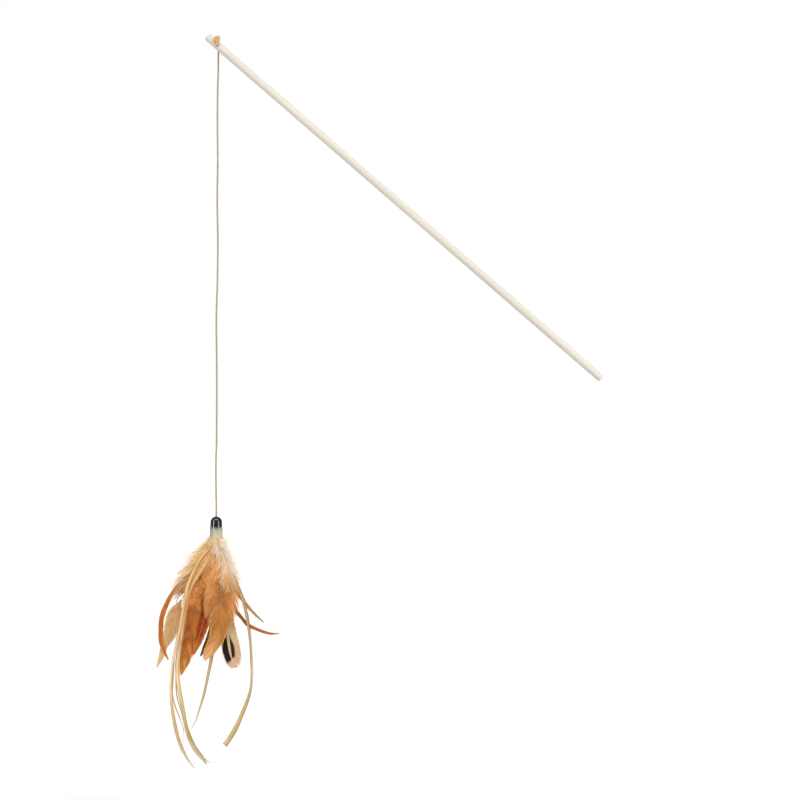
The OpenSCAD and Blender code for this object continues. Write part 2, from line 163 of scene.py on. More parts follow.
# A lamp that shines from a direction, on everything or on one node alone
def addLamp(name, kind, energy, away, only):
    data = bpy.data.lights.new(name, kind)
    data.energy = energy
    lamp = bpy.data.objects.new(name, data)
    bpy.context.scene.collection.objects.link(lamp)
    lamp.rotation_euler = Vector(away).to_track_quat("Z", "Y").to_euler()
    if only:
        lit = bpy.data.collections.new(name + "Only")
        lit.objects.link(frame["nodes"][only])
        lamp.light_linking.receiver_collection = lit
    return lamp


def makeStudio():
    scene = bpy.context.scene
    for name, away, strength, angle, only in suns:
        addLamp(name, "SUN", strength, away, only).data.angle = math.radians(angle)
    cap = (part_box("end_cap")[0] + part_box("end_cap")[1]) / 2
    for name, place, size, watts in panels:
        lamp = addLamp(name, "AREA", watts, place, "end_cap")
        lamp.data.shape = "RECTANGLE"
        lamp.data.size, lamp.data.size_y = size
        lamp.location = cap + Vector(place)
    world = bpy.data.worlds.new("studioWorld")
    scene.world = world
    world.use_nodes = True
    tree = world.node_tree
    tree.nodes.clear()
    color = hexColor(studio["world"])
    plain = addNode(tree, "ShaderNodeBackground", {"Color": color, "Strength": studio["worldLight"]})
    white = addNode(tree, "ShaderNodeBackground", {"Color": color, "Strength": 1.0})
    mixed = addNode(tree, "ShaderNodeMixShader",
                    {0: seenDirectly(tree), 1: plain.outputs[0], 2: white.outputs[0]})
    addNode(tree, "ShaderNodeOutputWorld", {"Surface": mixed.outputs[0]})
    bm = bmesh.new()
    bmesh.ops.create_grid(bm, x_segments=1, y_segments=1, size=studio["floorSize"])
    mesh = bpy.data.meshes.new("floor")
    bmesh.ops.translate(bm, verts=bm.verts, vec=(cap.x, 0, lureZ - studio["floorDrop"]))
    bm.to_mesh(mesh)
    bm.free()
    floor = bpy.data.objects.new("floor", mesh)
    scene.collection.objects.link(floor)
    mesh.materials.append(floorMaterial())


# Seamless white paper: the camera sees it lit past white, and the part's shadow still shows on it
def floorMaterial():
    material, tree = newMaterial("whitePaper")
    paper = addNode(tree, "ShaderNodeBsdfDiffuse", {"Color": hexColor(studio["paper"])})
    glow = addNode(tree, "ShaderNodeEmission", {"Color": hexColor(studio["world"]),
                                                "Strength": studio["paperGlow"]})
    lift = addNode(tree, "ShaderNodeAddShader", {0: paper.outputs[0], 1: glow.outputs[0]})
    mixed = addNode(tree, "ShaderNodeMixShader",
                    {0: seenDirectly(tree), 1: paper.outputs[0], 2: lift.outputs[0]})
    addNode(tree, "ShaderNodeOutputMaterial", {"Surface": mixed.outputs[0]})
    return material


bpy.context.scene.view_settings.view_transform = "Standard"
makeCamera()
makeStudio()
print("camera, light and floor placed")


# Mesh helpers
def newPiece(bm, name, body, materials, replaced=()):
    bmesh.ops.recalc_face_normals(bm, faces=bm.faces)
    mesh = bpy.data.meshes.new(name)
    bm.to_mesh(mesh)
    bm.free()
    for material in materials:
        mesh.materials.append(material)
    piece = bpy.data.objects.new(name, mesh)
    bpy.context.scene.collection.objects.link(piece)
    if body:
        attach(piece, body)
    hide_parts(*replaced)
    return piece


# Points on a smooth curve through the rows of a table, with equal parts between two rows
def rounded(rows, parts):
    rows = np.array(rows, float)
    wide = np.vstack([2 * rows[0] - rows[1], rows, 2 * rows[-1] - rows[-2]])
    u = np.linspace(0, 1, parts, endpoint=False)[:, None]
    spans = [
        (2 * b + (c - a) * u + (2 * a - 5 * b + 4 * c - d) * u ** 2 + (3 * b - a - 3 * c + d) * u ** 3) / 2
        for a, b, c, d in zip(wide, wide[1:], wide[2:], wide[3:])
    ]
    return np.vstack(spans + [rows[-1:]])


# Frames along points: each turns as little as it can from the one before, plus a turn for each metre gone
def pathFrames(points, turnPer=0.0, phase=0.0, scales=None):
    points = [Vector(p) for p in points]
    frames = []
    side = Vector((1, 0, 0))
    gone = 0.0
    for i, point in enumerate(points):
        ahead = (points[min(i + 1, len(points) - 1)] - points[max(i - 1, 0)]).normalized()
        side = (side - ahead * side.dot(ahead)).normalized()
        front = ahead.cross(side)
        if i:
            gone += (point - points[i - 1]).length
        basis = Matrix((side, front, ahead)).transposed().to_4x4()
        spin = Matrix.Rotation(phase + gone * turnPer, 4, "Z")
        size = Matrix.Diagonal((*(scales[i] if scales else (1, 1)), 1, 1))
        frames.append(Matrix.Translation(point) @ basis @ spin @ size)
    return frames


# A ring of outline points is extruded from frame to frame and closed at both ends. Where there is a layer,
# each vertex keeps its place across the outline there, with its frame's two marks
def sweep(bm, outline, frames, layer=None, marks=None, materialIndex=0):
    ring = [bm.verts.new(frames[0] @ Vector((x, y, 0))) for x, y in outline]
    edges = [bm.edges.new(pair) for pair in zip(ring, ring[1:] + ring[:1])]
    faces = [bm.faces.new(ring)]
    if layer:
        for vert, (x, y) in zip(ring, outline):
            vert[layer] = Vector((x, *marks[0]))
    for i in range(1, len(frames)):
        grown = bmesh.ops.extrude_edge_only(bm, edges=edges)["geom"]
        verts = [e for e in grown if isinstance(e, bmesh.types.BMVert)]
        edges = [e for e in grown if isinstance(e, bmesh.types.BMEdge) and e.is_boundary]
        faces += [e for e in grown if isinstance(e, bmesh.types.BMFace)]
        bmesh.ops.transform(bm, matrix=frames[i] @ frames[i - 1].inverted(), verts=verts)
        if layer:
            for vert in verts:
                vert[layer] = Vector((vert[layer].x, *marks[i]))
    faces += bmesh.ops.contextual_create(bm, geom=edges)["faces"]
    for face in faces:
        face.material_index = materialIndex
        face.smooth = True


# Twine
twine = {
    "diameter": 1.4 * mm,
    "plies": 3,
    "pitch": 4.2 * mm,  # length in which a ply goes once round
    "groove": 0.16,  # depth between the plies, as a share of the radius
    "sides": 12,
    "ringStep": 0.5 * mm,
    "exitY": 3.1 * mm,  # just behind the rod
    "elbow": 2,  # radius of its first bend, in diameters
    "elbowSteps": 6,
    "firstCut": -48 * mm,  # heights below the hole at which one piece of twine ends and the next begins
    "secondCut": -324 * mm,
    "neckTurn": (5 * mm, 5 * mm),  # how far above and below each joint the twine turns with it
    "twistTurn": (12 * mm, 12 * mm),
    "capTurn": (1.5 * mm, 1.0 * mm),
    "fibresPerMetre": 350,
    "fibreReach": 1.3 * mm,
    "fibreThick": 0.03 * mm,
    "colors": ("#b8a28c", "#8c7763"),
    "seed": 11,
}
# The hanging twine's middle line, from the hole: x, y from its drop line, z, in millimetres
hangPoints = [
    (0, 0, -12), (0, 0, -20), (-0.3, 0, -30), (-0.5, 0.1, -58), (-0.1, 0.3, -88), (-0.4, 0.4, -118),
    (0.3, 0, -150), (0.1, -0.3, -180), (-0.6, -0.3, -210), (-0.2, 0, -240), (0, 0, -270), (0, 0, -290),
    (0, 0, -300), (0, 0, -306), (-0.5, 0.1, -320), (-0.3, 0, -338), (0, 0, -352), (0, 0, -361.5),
]
jute = {"fleck": 0.9 * mm, "fibre": 0.22 * mm, "relief": 0.1 * mm, "roughness": 0.85, "sheen": 0.25}
lay = 2 * math.pi / twine["pitch"]  # how far the plies turn in a metre


# Spun natural fibre: matt, with darker flecks
def twineMaterial(name, light, dark):
    material, tree = newMaterial(name)
    place = addNode(tree, "ShaderNodeTexCoord")
    fleck = addNode(tree, "ShaderNodeTexNoise", {"Vector": place.outputs["Object"], "Detail": 3.0,
                                                 "Scale": 1 / jute["fleck"], "Roughness": 0.6})
    fine = addNode(tree, "ShaderNodeTexNoise", {"Vector": place.outputs["Object"], "Detail": 2.0,
                                                "Scale": 1 / jute["fibre"]})
    color = addNode(tree, "ShaderNodeValToRGB", {"Fac": fleck.outputs["Fac"]},
                    stops=[(0.3, dark), (0.62, light)])
    bump = addNode(tree, "ShaderNodeBump", {"Height": fine.outputs["Fac"], "Strength": 0.6,
                                            "Distance": jute["relief"]})
    finishMaterial(tree, {"Base Color": color.outputs[0], "Roughness": jute["roughness"],
                          "Normal": bump.outputs[0], "Specular IOR Level": 0.25,
                          "Sheen Weight": jute["sheen"]})
    return material


# The twine's outline: a circle with a groove between the plies
def plyOutline(radius):
    outline = []
    for i in range(twine["sides"]):
        angle = 2 * math.pi * i / twine["sides"]
        r = radius * (1 - twine["groove"] * (1 - abs(math.cos(twine["plies"] * angle / 2))))
        outline.append((r * math.cos(angle), r * math.sin(angle)))
    return outline


# Even points a step apart on a smooth curve through points, and the curve's length
def evenRoute(points, step, parts=24):
    dense = rounded(points, parts)
    gone = np.concatenate([[0], np.cumsum(np.linalg.norm(np.diff(dense, axis=0), axis=1))])
    at = np.linspace(0, gone[-1], max(2, round(gone[-1] / step) + 1))
    return np.stack([np.interp(at, gone, dense[:, i]) for i in range(3)], -1), gone[-1]


# Fine loose fibres that stand off the twine, each a closed sliver
def addFibres(bm, points, rand):
    thick = twine["fibreThick"]
    for _ in range(round(len(points) * twine["ringStep"] * twine["fibresPerMetre"])):
        i = rand.randrange(2, len(points) - 3)
        start = Vector(points[i])
        ahead = (Vector(points[i + 2]) - start).normalized()
        out = Vector([rand.uniform(-1, 1) for _ in range(3)])
        out = (out - ahead * out.dot(ahead)).normalized()
        length = rand.uniform(0.4, 1.0) * twine["fibreReach"]
        lean = rand.uniform(-0.8, 0.8)
        root = start + out * twine["diameter"] * 0.3
        middle = start + out * (twine["diameter"] / 2 + length * 0.35) + ahead * lean * length * 0.4
        tip = start + out * (twine["diameter"] / 2 + length * 0.6) + ahead * lean * length
        frames = pathFrames([root, middle, tip], scales=[(1, 1), (0.8, 0.8), (0.3, 0.3)])
        sweep(bm, [(thick, 0), (-thick / 2, thick), (-thick / 2, -thick)], frames)


def makeTwine(material):
    elbow = twine["elbow"] * twine["diameter"]
    turn = Vector((hole.x, dropY - elbow, hole.z - elbow))
    start = [(hole.x, twine["exitY"], hole.z)]
    for k in range(twine["elbowSteps"] + 1):
        angle = math.pi / 2 * k / twine["elbowSteps"]
        start.append(tuple(turn + elbow * Vector((0, math.sin(angle), math.cos(angle)))))
    base = Vector((hole.x, dropY, hole.z))
    hang = [tuple(base + Vector(p) * mm) for p in hangPoints]
    line, length = evenRoute(start + hang, twine["ringStep"])
    first, second = hole.z + twine["firstCut"], hole.z + twine["secondCut"]
    parts = [
        # name, height of its lower end, its bodies, the joint between them, its turn there, the replaced node
        ("twine_top", first, ("string_neck", "string"), "string_sweep", "neckTurn", "string_neck"),
        ("twine_middle", second, ("string", "string_end"), "lure_twist", "twistTurn", "string_upper"),
        ("twine_bottom", min(line[:, 2]), ("string_end", "lure"), "lure_swing", "capTurn", "string_lower"),
    ]
    begin = 0
    for number, (name, bottom, bodies, bend, turnKey, node) in enumerate(parts):
        end = max(i for i, point in enumerate(line) if point[2] >= bottom)
        points = line[begin:end + 1]
        gone = begin * length / (len(line) - 1)
        bm = bmesh.new()
        sweep(bm, plyOutline(twine["diameter"] / 2), pathFrames(points, lay, gone * lay))
        addFibres(bm, points, random.Random(twine["seed"] + number))
        piece = newPiece(bm, name, None, [material], [node])
        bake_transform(piece)
        begin = end


twineLook = twineMaterial("spunJute", *twine["colors"])
makeTwine(twineLook)
print("twine hung")

# Stopper knot
knot = {
    "diameter": 4.0 * mm,
    "turns": 4,
    "rise": 1.2,  # height of one turn, in twine diameters
    "flat": 0.75,  # share of a turn before it climbs
    "swell": 1.18,  # how much thicker the slack twine is in the turns
    "turnSteps": 15,
    "ringStep": 0.3 * mm,
    "rodFace": 3 * mm,  # from the rod's middle to its front
    "gap": 0.1 * mm,
    "entryOut": 0.6,  # where the twine meets its turns: a share of their radius, and how far up
    "entryUp": 0.2 * mm,
    "coreEnds": (0.2 * mm, 0.4 * mm),  # how far inside the turns the twine they are wound round ends
    "loopHeight": 0.6,  # shares of the knot's height at which the side loop and the cut end leave it
    "tailHeight": 0.7,
    "loopRadius": 1.05 * mm,
    "loopOut": 0.35 * mm,
    "loopFront": 0.2 * mm,
    "loopFrom": -70,  # degrees
    "loopTurn": 320,
    "loopSteps": 12,
    "loopThick": 0.95,  # of the twine
    "tail": 0.5 * mm,
    "tailRows": ((0.4, 0), (0.5, 0.15), (0.3, 0.5)),  # how far the cut end stands forward and up, in mm
    "tailThick": 0.8,
    "colors": ("#ecbe8c", "#c08a50"),
}


# Plied twine along a smooth curve through points
def addPlied(bm, points, radius, step):
    line, _ = evenRoute([tuple(point) for point in points], step)
    sweep(bm, plyOutline(radius), pathFrames(line, lay))


# The twine comes through the rod, winds up round itself, tucks back through and leaves a short tail
def makeKnot(material):
    r = twine["diameter"] / 2
    pitch = 2 * r * knot["rise"]
    coil = knot["diameter"] / 2 - r
    tall = pitch * (knot["turns"] - 1) + 2 * r
    middle = Vector((hole.x, -knot["rodFace"] - knot["gap"] - knot["diameter"] / 2, hole.z))
    bm = bmesh.new()
    wound = [(hole.x, knot["rodFace"], hole.z), (hole.x, 0, hole.z), (hole.x, -knot["rodFace"], hole.z),
             (hole.x, middle.y + coil * knot["entryOut"], hole.z + knot["entryUp"])]
    steps = knot["turnSteps"]
    for i in range(knot["turns"] * steps):
        angle = math.pi / 2 + 2 * math.pi * i / steps
        climb = i // steps + max(0, (i % steps) / steps - knot["flat"]) / (1 - knot["flat"])
        wound.append(middle + Vector((coil * math.cos(angle), coil * math.sin(angle), r + pitch * climb)))
    addPlied(bm, wound, r * knot["swell"], knot["ringStep"])
    loop = []
    for i in range(knot["loopSteps"] + 1):
        angle = math.radians(knot["loopFrom"] + knot["loopTurn"] * i / knot["loopSteps"])
        out = coil + knot["loopOut"] + knot["loopRadius"] * math.cos(angle)
        up = tall * knot["loopHeight"] + knot["loopRadius"] * math.sin(angle)
        loop.append(middle + Vector((-out, -knot["loopFront"], up)))
    addPlied(bm, loop, r * knot["loopThick"], knot["ringStep"])
    outs = (0, coil, knot["diameter"] / 2 + knot["tail"])
    tail = [middle + Vector((out, -front * mm, tall * knot["tailHeight"] + up * mm))
            for out, (front, up) in zip(outs, knot["tailRows"])]
    addPlied(bm, tail, r * knot["tailThick"], knot["ringStep"])
    # what the turns are wound round
    low, high = knot["coreEnds"]
    core = [middle + Vector((0, 0, z)) for z in (low, tall / 2, tall - high)]
    addPlied(bm, core, r, twine["ringStep"])
    newPiece(bm, "knot", "rod", [material], ["stopper_knot"])


makeKnot(twineMaterial("knottedJute", *knot["colors"]))
print("knot tied")


# Rod, cap and what fills it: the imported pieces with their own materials
birch = {
    "colors": [(0.36, "#cdc5b8"), (0.5, "#d2cbbe"), (0.62, "#d7d1c6")],
    "fibre": (0.7 * mm, 28 * mm),  # width and length of a fibre, and of a band of them
    "band": (4 * mm, 90 * mm),
    "relief": 0.05 * mm,
    "roughness": 0.55,
}
capPlastic = {
    "colors": [(0.3, "#030303"), (0.7, "#070707")],
    "peel": 1.6 * mm,
    "relief": 0.05 * mm,
    "roughness": 0.1,
}
glue = {"colors": [(0.3, "#c8bfa2"), (0.7, "#e0d9c2")], "cloud": 2.5 * mm, "roughness": 0.3}
thread = {
    # lighter on the turns, with painted shade in the grooves between them
    "colors": [(0.1, "#6e5e42"), (0.8, "#a08c66")],
    "pitch": 0.69 * mm,  # twice as coarse as sewing thread, so that it shows
    "relief": 0.1 * mm,
    "roughness": 0.8,
}


# Sanded birch: pale, with fine fibres along the dowel and a few darker flecks
def birchMaterial(lean):
    material, tree = newMaterial("sandedBirch")
    place = addNode(tree, "ShaderNodeTexCoord")
    turned = addNode(tree, "ShaderNodeMapping", {"Vector": place.outputs["Object"], "Rotation": (0, lean, 0)})
    patterns = []
    for (wide, long), detail, roughness in ((birch["fibre"], 4.0, 0.6), (birch["band"], 2.0, 0.5)):
        drawn = addNode(tree, "ShaderNodeMapping", {"Vector": turned.outputs[0],
                                                    "Scale": (1 / wide, 1 / wide, 1 / long)})
        patterns.append(addNode(tree, "ShaderNodeTexNoise", {"Vector": drawn.outputs[0], "Scale": 1.0,
                                                             "Detail": detail, "Roughness": roughness}))
    grain, band = [pattern.outputs["Fac"] for pattern in patterns]
    tone = addNode(tree, "ShaderNodeMath", {0: grain, 1: band}, operation="ADD")
    half = addNode(tree, "ShaderNodeMath", {0: tone.outputs[0], 1: 0.5}, operation="MULTIPLY")
    color = addNode(tree, "ShaderNodeValToRGB", {"Fac": half.outputs[0]}, stops=birch["colors"])
    bump = addNode(tree, "ShaderNodeBump", {"Height": grain, "Strength": 0.04, "Distance": birch["relief"]})
    finishMaterial(tree, {"Base Color": color.outputs[0], "Roughness": birch["roughness"],
                          "Normal": bump.outputs[0], "Specular IOR Level": 0.35})
    return material


# Injection-moulded glossy black plastic with a faint orange-peel
def capMaterial():
    material, tree = newMaterial("glossyMouldedPlastic")
    place = addNode(tree, "ShaderNodeTexCoord")
    peel = addNode(tree, "ShaderNodeTexNoise", {"Vector": place.outputs["Object"],
                                                "Scale": 1 / capPlastic["peel"], "Detail": 1.0})
    tone = addNode(tree, "ShaderNodeValToRGB", {"Fac": peel.outputs["Fac"]}, stops=capPlastic["colors"])
    bump = addNode(tree, "ShaderNodeBump", {"Height": peel.outputs["Fac"], "Strength": 0.08,
                                            "Distance": capPlastic["relief"]})
    finishMaterial(tree, {"Base Color": tone.outputs[0], "Roughness": capPlastic["roughness"],
                          "Normal": bump.outputs[0], "Specular IOR Level": 0.1})
    return material


# Hardened hot glue: milky, smooth and a little glossy
def glueMaterial():
    material, tree = newMaterial("hardenedGlue")
    place = addNode(tree, "ShaderNodeTexCoord")
    cloud = addNode(tree, "ShaderNodeTexNoise", {"Vector": place.outputs["Object"],
                                                 "Scale": 1 / glue["cloud"]})
    color = addNode(tree, "ShaderNodeValToRGB", {"Fac": cloud.outputs["Fac"]}, stops=glue["colors"])
    finishMaterial(tree, {"Base Color": color.outputs[0], "Roughness": glue["roughness"]})
    return material


# Wound sewing thread: fine turns stacked up the band, with painted shade in the grooves between them
def threadMaterial():
    material, tree = newMaterial("woundThread")
    place = addNode(tree, "ShaderNodeTexCoord")
    # the wave pattern's bands lie pi / 10 apart at a scale of 1
    turns = addNode(tree, "ShaderNodeTexWave", {"Vector": place.outputs["Object"], "Distortion": 0.4,
                                                "Scale": math.pi / 10 / thread["pitch"]}, bands_direction="Z")
    # the darker colour lies in the bump's grooves between turns: painted shade
    color = addNode(tree, "ShaderNodeValToRGB", {"Fac": turns.outputs["Fac"]}, stops=thread["colors"])
    bump = addNode(tree, "ShaderNodeBump", {"Height": turns.outputs["Fac"], "Strength": 0.7,
                                            "Distance": thread["relief"]})
    finishMaterial(tree, {"Base Color": color.outputs[0], "Roughness": thread["roughness"],
                          "Normal": bump.outputs[0]})
    return material


lean = math.atan2(-hole.x, hole.z)
for name, material in {"rod": birchMaterial(lean), "end_cap": capMaterial(), "glue_plug": glueMaterial(),
                       "quill_binding": threadMaterial(), "cap_knot": twineLook}.items():
    mesh = frame["nodes"][name].data
    mesh.materials.clear()
    mesh.materials.append(material)
print("rod and cap finished")


# Strands, which are the feathers and the raffia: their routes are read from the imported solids
strand = {
    "weld": 0.002 * mm,
    "topRing": 0.01 * mm,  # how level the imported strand's first ring is
    "flat": 1.6,  # a ring this much wider than it is thick shows which way the strand faces
    "parts": 8,
}


# Middle line, broad side and half width of a packed strand, ring by ring from the cap down
def strandRoute(name):
    bm = bmesh.new()
    bm.from_mesh(frame["nodes"][name].data)
    bmesh.ops.remove_doubles(bm, verts=bm.verts, dist=strand["weld"])
    top = max(v.co.z for v in bm.verts)
    ring = {v for v in bm.verts if v.co.z > top - strand["topRing"]}
    seen = set(ring)
    rings = []
    while ring:
        rings.append(np.array([v.co for v in ring]))
        ring = {e.other_vert(v) for v in ring for e in v.link_edges} - seen
        seen |= ring
    bm.free()
    middles = np.array([r.mean(0) for r in rings])
    ahead = np.gradient(middles, axis=0)
    rows = []
    for points, middle, along in zip(rings, middles, ahead):
        plain = np.cross(along, (0, 1, 0))
        plain /= np.linalg.norm(plain)
        _, sizes, axes = np.linalg.svd(points - middle)
        side = axes[0] if sizes[0] > strand["flat"] * sizes[1] else plain
        side = side if side @ plain > 0 else -side
        rows.append(np.concatenate([middle, side, [np.abs((points - middle) @ side).max()]]))
    table = rounded(rows, strand["parts"])
    at, side, half = table[:, :3], table[:, 3:6], table[:, 6]
    ahead = np.gradient(at, axis=0)
    ahead /= np.linalg.norm(ahead, axis=1)[:, None]
    side -= ahead * (side * ahead).sum(1)[:, None]
    side /= np.linalg.norm(side, axis=1)[:, None]
    gone = np.concatenate([[0], np.cumsum(np.linalg.norm(np.diff(at, axis=0), axis=1))])
    return {"at": at, "side": side, "front": np.cross(side, ahead), "ahead": ahead, "half": half,
            "gone": gone, "length": gone[-1], "mouth": float(np.interp(-mouthZ, -at[:, 2], gone))}


# Place, side, front and half width at distances along a route; past its end it goes straight on
def routeAt(route, d):
    d = np.asarray(d, float)
    inside = np.clip(d, 0, route["length"])
    found = [np.stack([np.interp(inside, route["gone"], route[key][:, i]) for i in range(3)], -1)
             for key in ("at", "side", "front", "ahead")]
    at = found[0] + found[3] * (d - inside)[..., None]
    return at, found[1], found[2], np.interp(inside, route["gone"], route["half"])


barbs = {
    "thick": 0.1 * mm,
    "taper": 0.75,  # how much narrower a barb's tip is than its foot
    "vaneRoot": 0.15 * mm,  # from the rachis's middle to the barb's root
    "downRoot": 0.1 * mm,
    "looseRoot": 0.2 * mm,
    "looseOver": (-0.8, 0.2),  # behind or before the rachis, in millimetres
    "lastVane": 0.6 * mm,  # from the vane's last barbs to the feather's end
    "vaneGrown": 6 * mm,  # the vane's first barbs are shorter, over less than this length
    "downGrown": 20 * mm,  # so is the down at the cap
    "vaneWave": 0.05 * mm,
    "downWave": (0.1, 0.6),  # in millimetres
    "looseWave": 0.1 * mm,
    "seed": 100,
}


# One barb lying along +Z for one unit: a flattened diamond that tapers to its tip, the later the greater its
# waist is
def barbTemplate(name, steps, waist):
    bm = bmesh.new()
    bmesh.ops.create_cone(bm, cap_ends=True, segments=4, radius1=0.5, radius2=0.5, depth=1)
    bmesh.ops.translate(bm, verts=bm.verts, vec=(0, 0, 0.5))
    for i in range(1, steps):
        bmesh.ops.bisect_plane(bm, geom=[*bm.verts, *bm.edges, *bm.faces], plane_co=(0, 0, i / steps),
                               plane_no=(0, 0, 1))
    for vert in bm.verts:
        size = 1 - barbs["taper"] * vert.co.z ** waist
        vert.co = (vert.co.x * size, vert.co.y * size, vert.co.z)
    mesh = bpy.data.meshes.new(name)
    bm.to_mesh(mesh)
    bm.free()
    return mesh


vaneBarb = barbTemplate("vaneBarb", 5, 5.0)
downBarb = barbTemplate("downBarb", 8, 1.5)


# What a barb's row holds: the side it grows to, its root's place along, across and before the route, how far
# it reaches across, along and before it, its pull to its clump, bow, waves, width, tilt and tone
barbKeys = ("hand", "start", "root", "over", "wide", "reach", "lift", "droop", "pull", "bow", "wave", "phase",
            "curls", "width", "tilt", "tone")
fullTurn = 6.3  # two pi, near enough for a wave


# Lays one barb for each row of the table along a route and adds them to a bmesh, with their marks: across 0
# at the rachis to -1 or 1 at a barb's tip, station 0 at the cap's mouth to 1 at the feather's end, and a tone
def layBarbs(bm, template, route, rows, materialIndex=0):
    lane = bpy.data.objects.new("lane", template)
    bpy.context.scene.collection.objects.link(lane)
    copies = lane.modifiers.new("copies", "ARRAY")
    copies.count = len(rows)
    copies.use_relative_offset = False
    mesh = bpy.data.meshes.new_from_object(lane.evaluated_get(bpy.context.evaluated_depsgraph_get()))
    bpy.data.objects.remove(lane)
    shape = np.array([v.co for v in template.vertices])
    x, y, t = shape[:, 0][None], shape[:, 1][None], shape[:, 2][None]
    r = {key: np.array([row[key] for row in rows], float)[:, None] for key in barbKeys}
    bow = r["bow"]
    q = r["hand"] * (r["root"] + r["wide"] * (bow * t - (bow - 1) * t * t))
    dq = r["hand"] * r["wide"] * (bow - 2 * (bow - 1) * t)
    s = r["start"] + r["reach"] * (0.6 * t + 0.4 * t * t) + r["pull"] * t ** 2
    ds = r["reach"] * (0.6 + 0.8 * t) + 2 * r["pull"] * t
    wave = r["wave"] * np.sin(r["phase"] + fullTurn * t * r["curls"]) * t
    n = r["over"] + r["lift"] * t + r["droop"] * t * t + wave
    norm = np.sqrt(dq ** 2 + ds ** 2)
    across = x * r["width"] * np.cos(r["tilt"]) - y * barbs["thick"] * np.sin(r["tilt"]) * r["hand"]
    s = s - across * dq / norm + wave * 0.6
    q = q + across * ds / norm + wave * 0.5
    n = n + x * r["width"] * np.sin(r["tilt"]) * r["hand"] + y * barbs["thick"] * np.cos(r["tilt"])
    at, side, front, _ = routeAt(route, s)
    places = at + side * q[..., None] + front * n[..., None]
    station = (r["start"] - route["mouth"]) / (route["length"] - route["mouth"]) + 0 * s
    marks = np.stack([r["hand"] * t + 0 * s, station, r["tone"] + 0 * s], -1)
    mesh.vertices.foreach_set("co", places.ravel())
    mesh.attributes.new("barb", "FLOAT_VECTOR", "POINT").data.foreach_set("vector", marks.ravel())
    mesh.polygons.foreach_set("material_index", [materialIndex] * len(mesh.polygons))
    bm.from_mesh(mesh)
    bpy.data.meshes.remove(mesh)


# Closed barbs of the vane, from where it starts to the tip, in clumps that part here and there
def vaneRows(route, look, rand):
    rows = []
    length, mouth = route["length"], route["mouth"]
    begin = mouth + look["vaneFrom"] * (length - mouth)
    for hand in (-1, 1):
        d = begin
        clump = {"end": begin}
        while d < length - barbs["lastVane"]:
            if d >= clump["end"]:
                size = rand.uniform(*look["clump"]) * mm
                clump = {"end": d + size, "middle": d + size / 2, "pull": rand.uniform(*look["pull"]),
                         "tone": rand.uniform(0, 1), "lift": rand.uniform(-0.3, 0.3),
                         "wide": rand.uniform(1 - look["ragged"], 1.02)}
            share = (d - mouth) / (length - mouth)
            loose = look["base"] * mm * max(0, 1 - share / look["baseTo"]) ** 0.7
            guess = float(routeAt(route, d)[3]) + loose
            free = look["sweep"] * guess + look["step"] * mm
            ahead = min(d + free, length)
            wide = float(routeAt(route, ahead)[3]) * look["wideBy"] * (1 - hand * look["skew"]) + loose
            wide *= clump["wide"] * (ahead - d) / free * float(np.interp(share, *look["narrow"]))
            grown = min(1, (d - begin) / barbs["vaneGrown"] + 0.35)
            rows.append({
                "hand": hand, "start": d, "root": barbs["vaneRoot"], "over": 0, "reach": ahead - d,
                "wide": wide * grown * rand.uniform(0.95, 1.02),
                "pull": (clump["middle"] - d) * clump["pull"], "bow": look["bow"] + rand.uniform(-0.05, 0.05),
                "wave": barbs["vaneWave"] + 0.1 * loose, "phase": rand.uniform(0, fullTurn),
                "curls": rand.uniform(0.8, 1.3),
                "lift": (clump["lift"] + rand.uniform(-0.12, 0.12)) * mm + 0.35 * loose * rand.uniform(-1, 1),
                "droop": look["droop"] * wide / 7, "width": look["barbWidth"] * mm * rand.uniform(0.85, 1.15),
                "tilt": rand.uniform(0.15, 0.45),
                "tone": look["clumpTone"] * clump["tone"] + (1 - look["clumpTone"]) * rand.uniform(0, 1),
            })
            d += look["spacing"] * mm * rand.uniform(0.85, 1.15)
    return rows


# Loose downy barbs round the lower rachis: longer, thinner, curling and spread all round
def downRows(route, look, rand):
    rows = []
    length, mouth = route["length"], route["mouth"]
    begin = mouth + look["downFrom"] * mm
    end = mouth + look["downTo"] * (length - mouth)
    for _ in range(look["downCount"]):
        d = rand.uniform(begin, end)
        spread = math.radians(rand.uniform(-1, 1) * look["downSpread"])
        grown = min(1, 0.4 + (d - mouth) / barbs["downGrown"])
        size = rand.uniform(0.5, 1.0) * look["downLength"] * mm * grown
        side = rand.uniform(0.4, 0.9)
        rows.append({
            "hand": rand.choice(look["downHands"]), "start": d, "root": barbs["downRoot"],
            "over": look["downOver"] * mm, "wide": size * side * math.cos(spread),
            "reach": size * math.sqrt(1 - side * side), "pull": 0, "bow": rand.uniform(1.0, 1.5),
            "wave": rand.uniform(*barbs["downWave"]) * mm, "phase": rand.uniform(0, fullTurn),
            "curls": rand.uniform(0.6, 1.8), "lift": size * side * math.sin(spread),
            "droop": rand.uniform(-1, 1) * 0.15 * size, "width": rand.uniform(*look["downWidth"]) * mm,
            "tilt": rand.uniform(-0.6, 0.6), "tone": rand.uniform(0, 1),
        })
    return rows


# How loose curls vary: their root's place and their reach forward, wave and width are in millimetres
curls = {"root": (0, 2), "over": (-2.2, -1.0), "lift": (-1.5, 0.5), "wave": (0.4, 1.2), "width": (0.3, 0.55)}


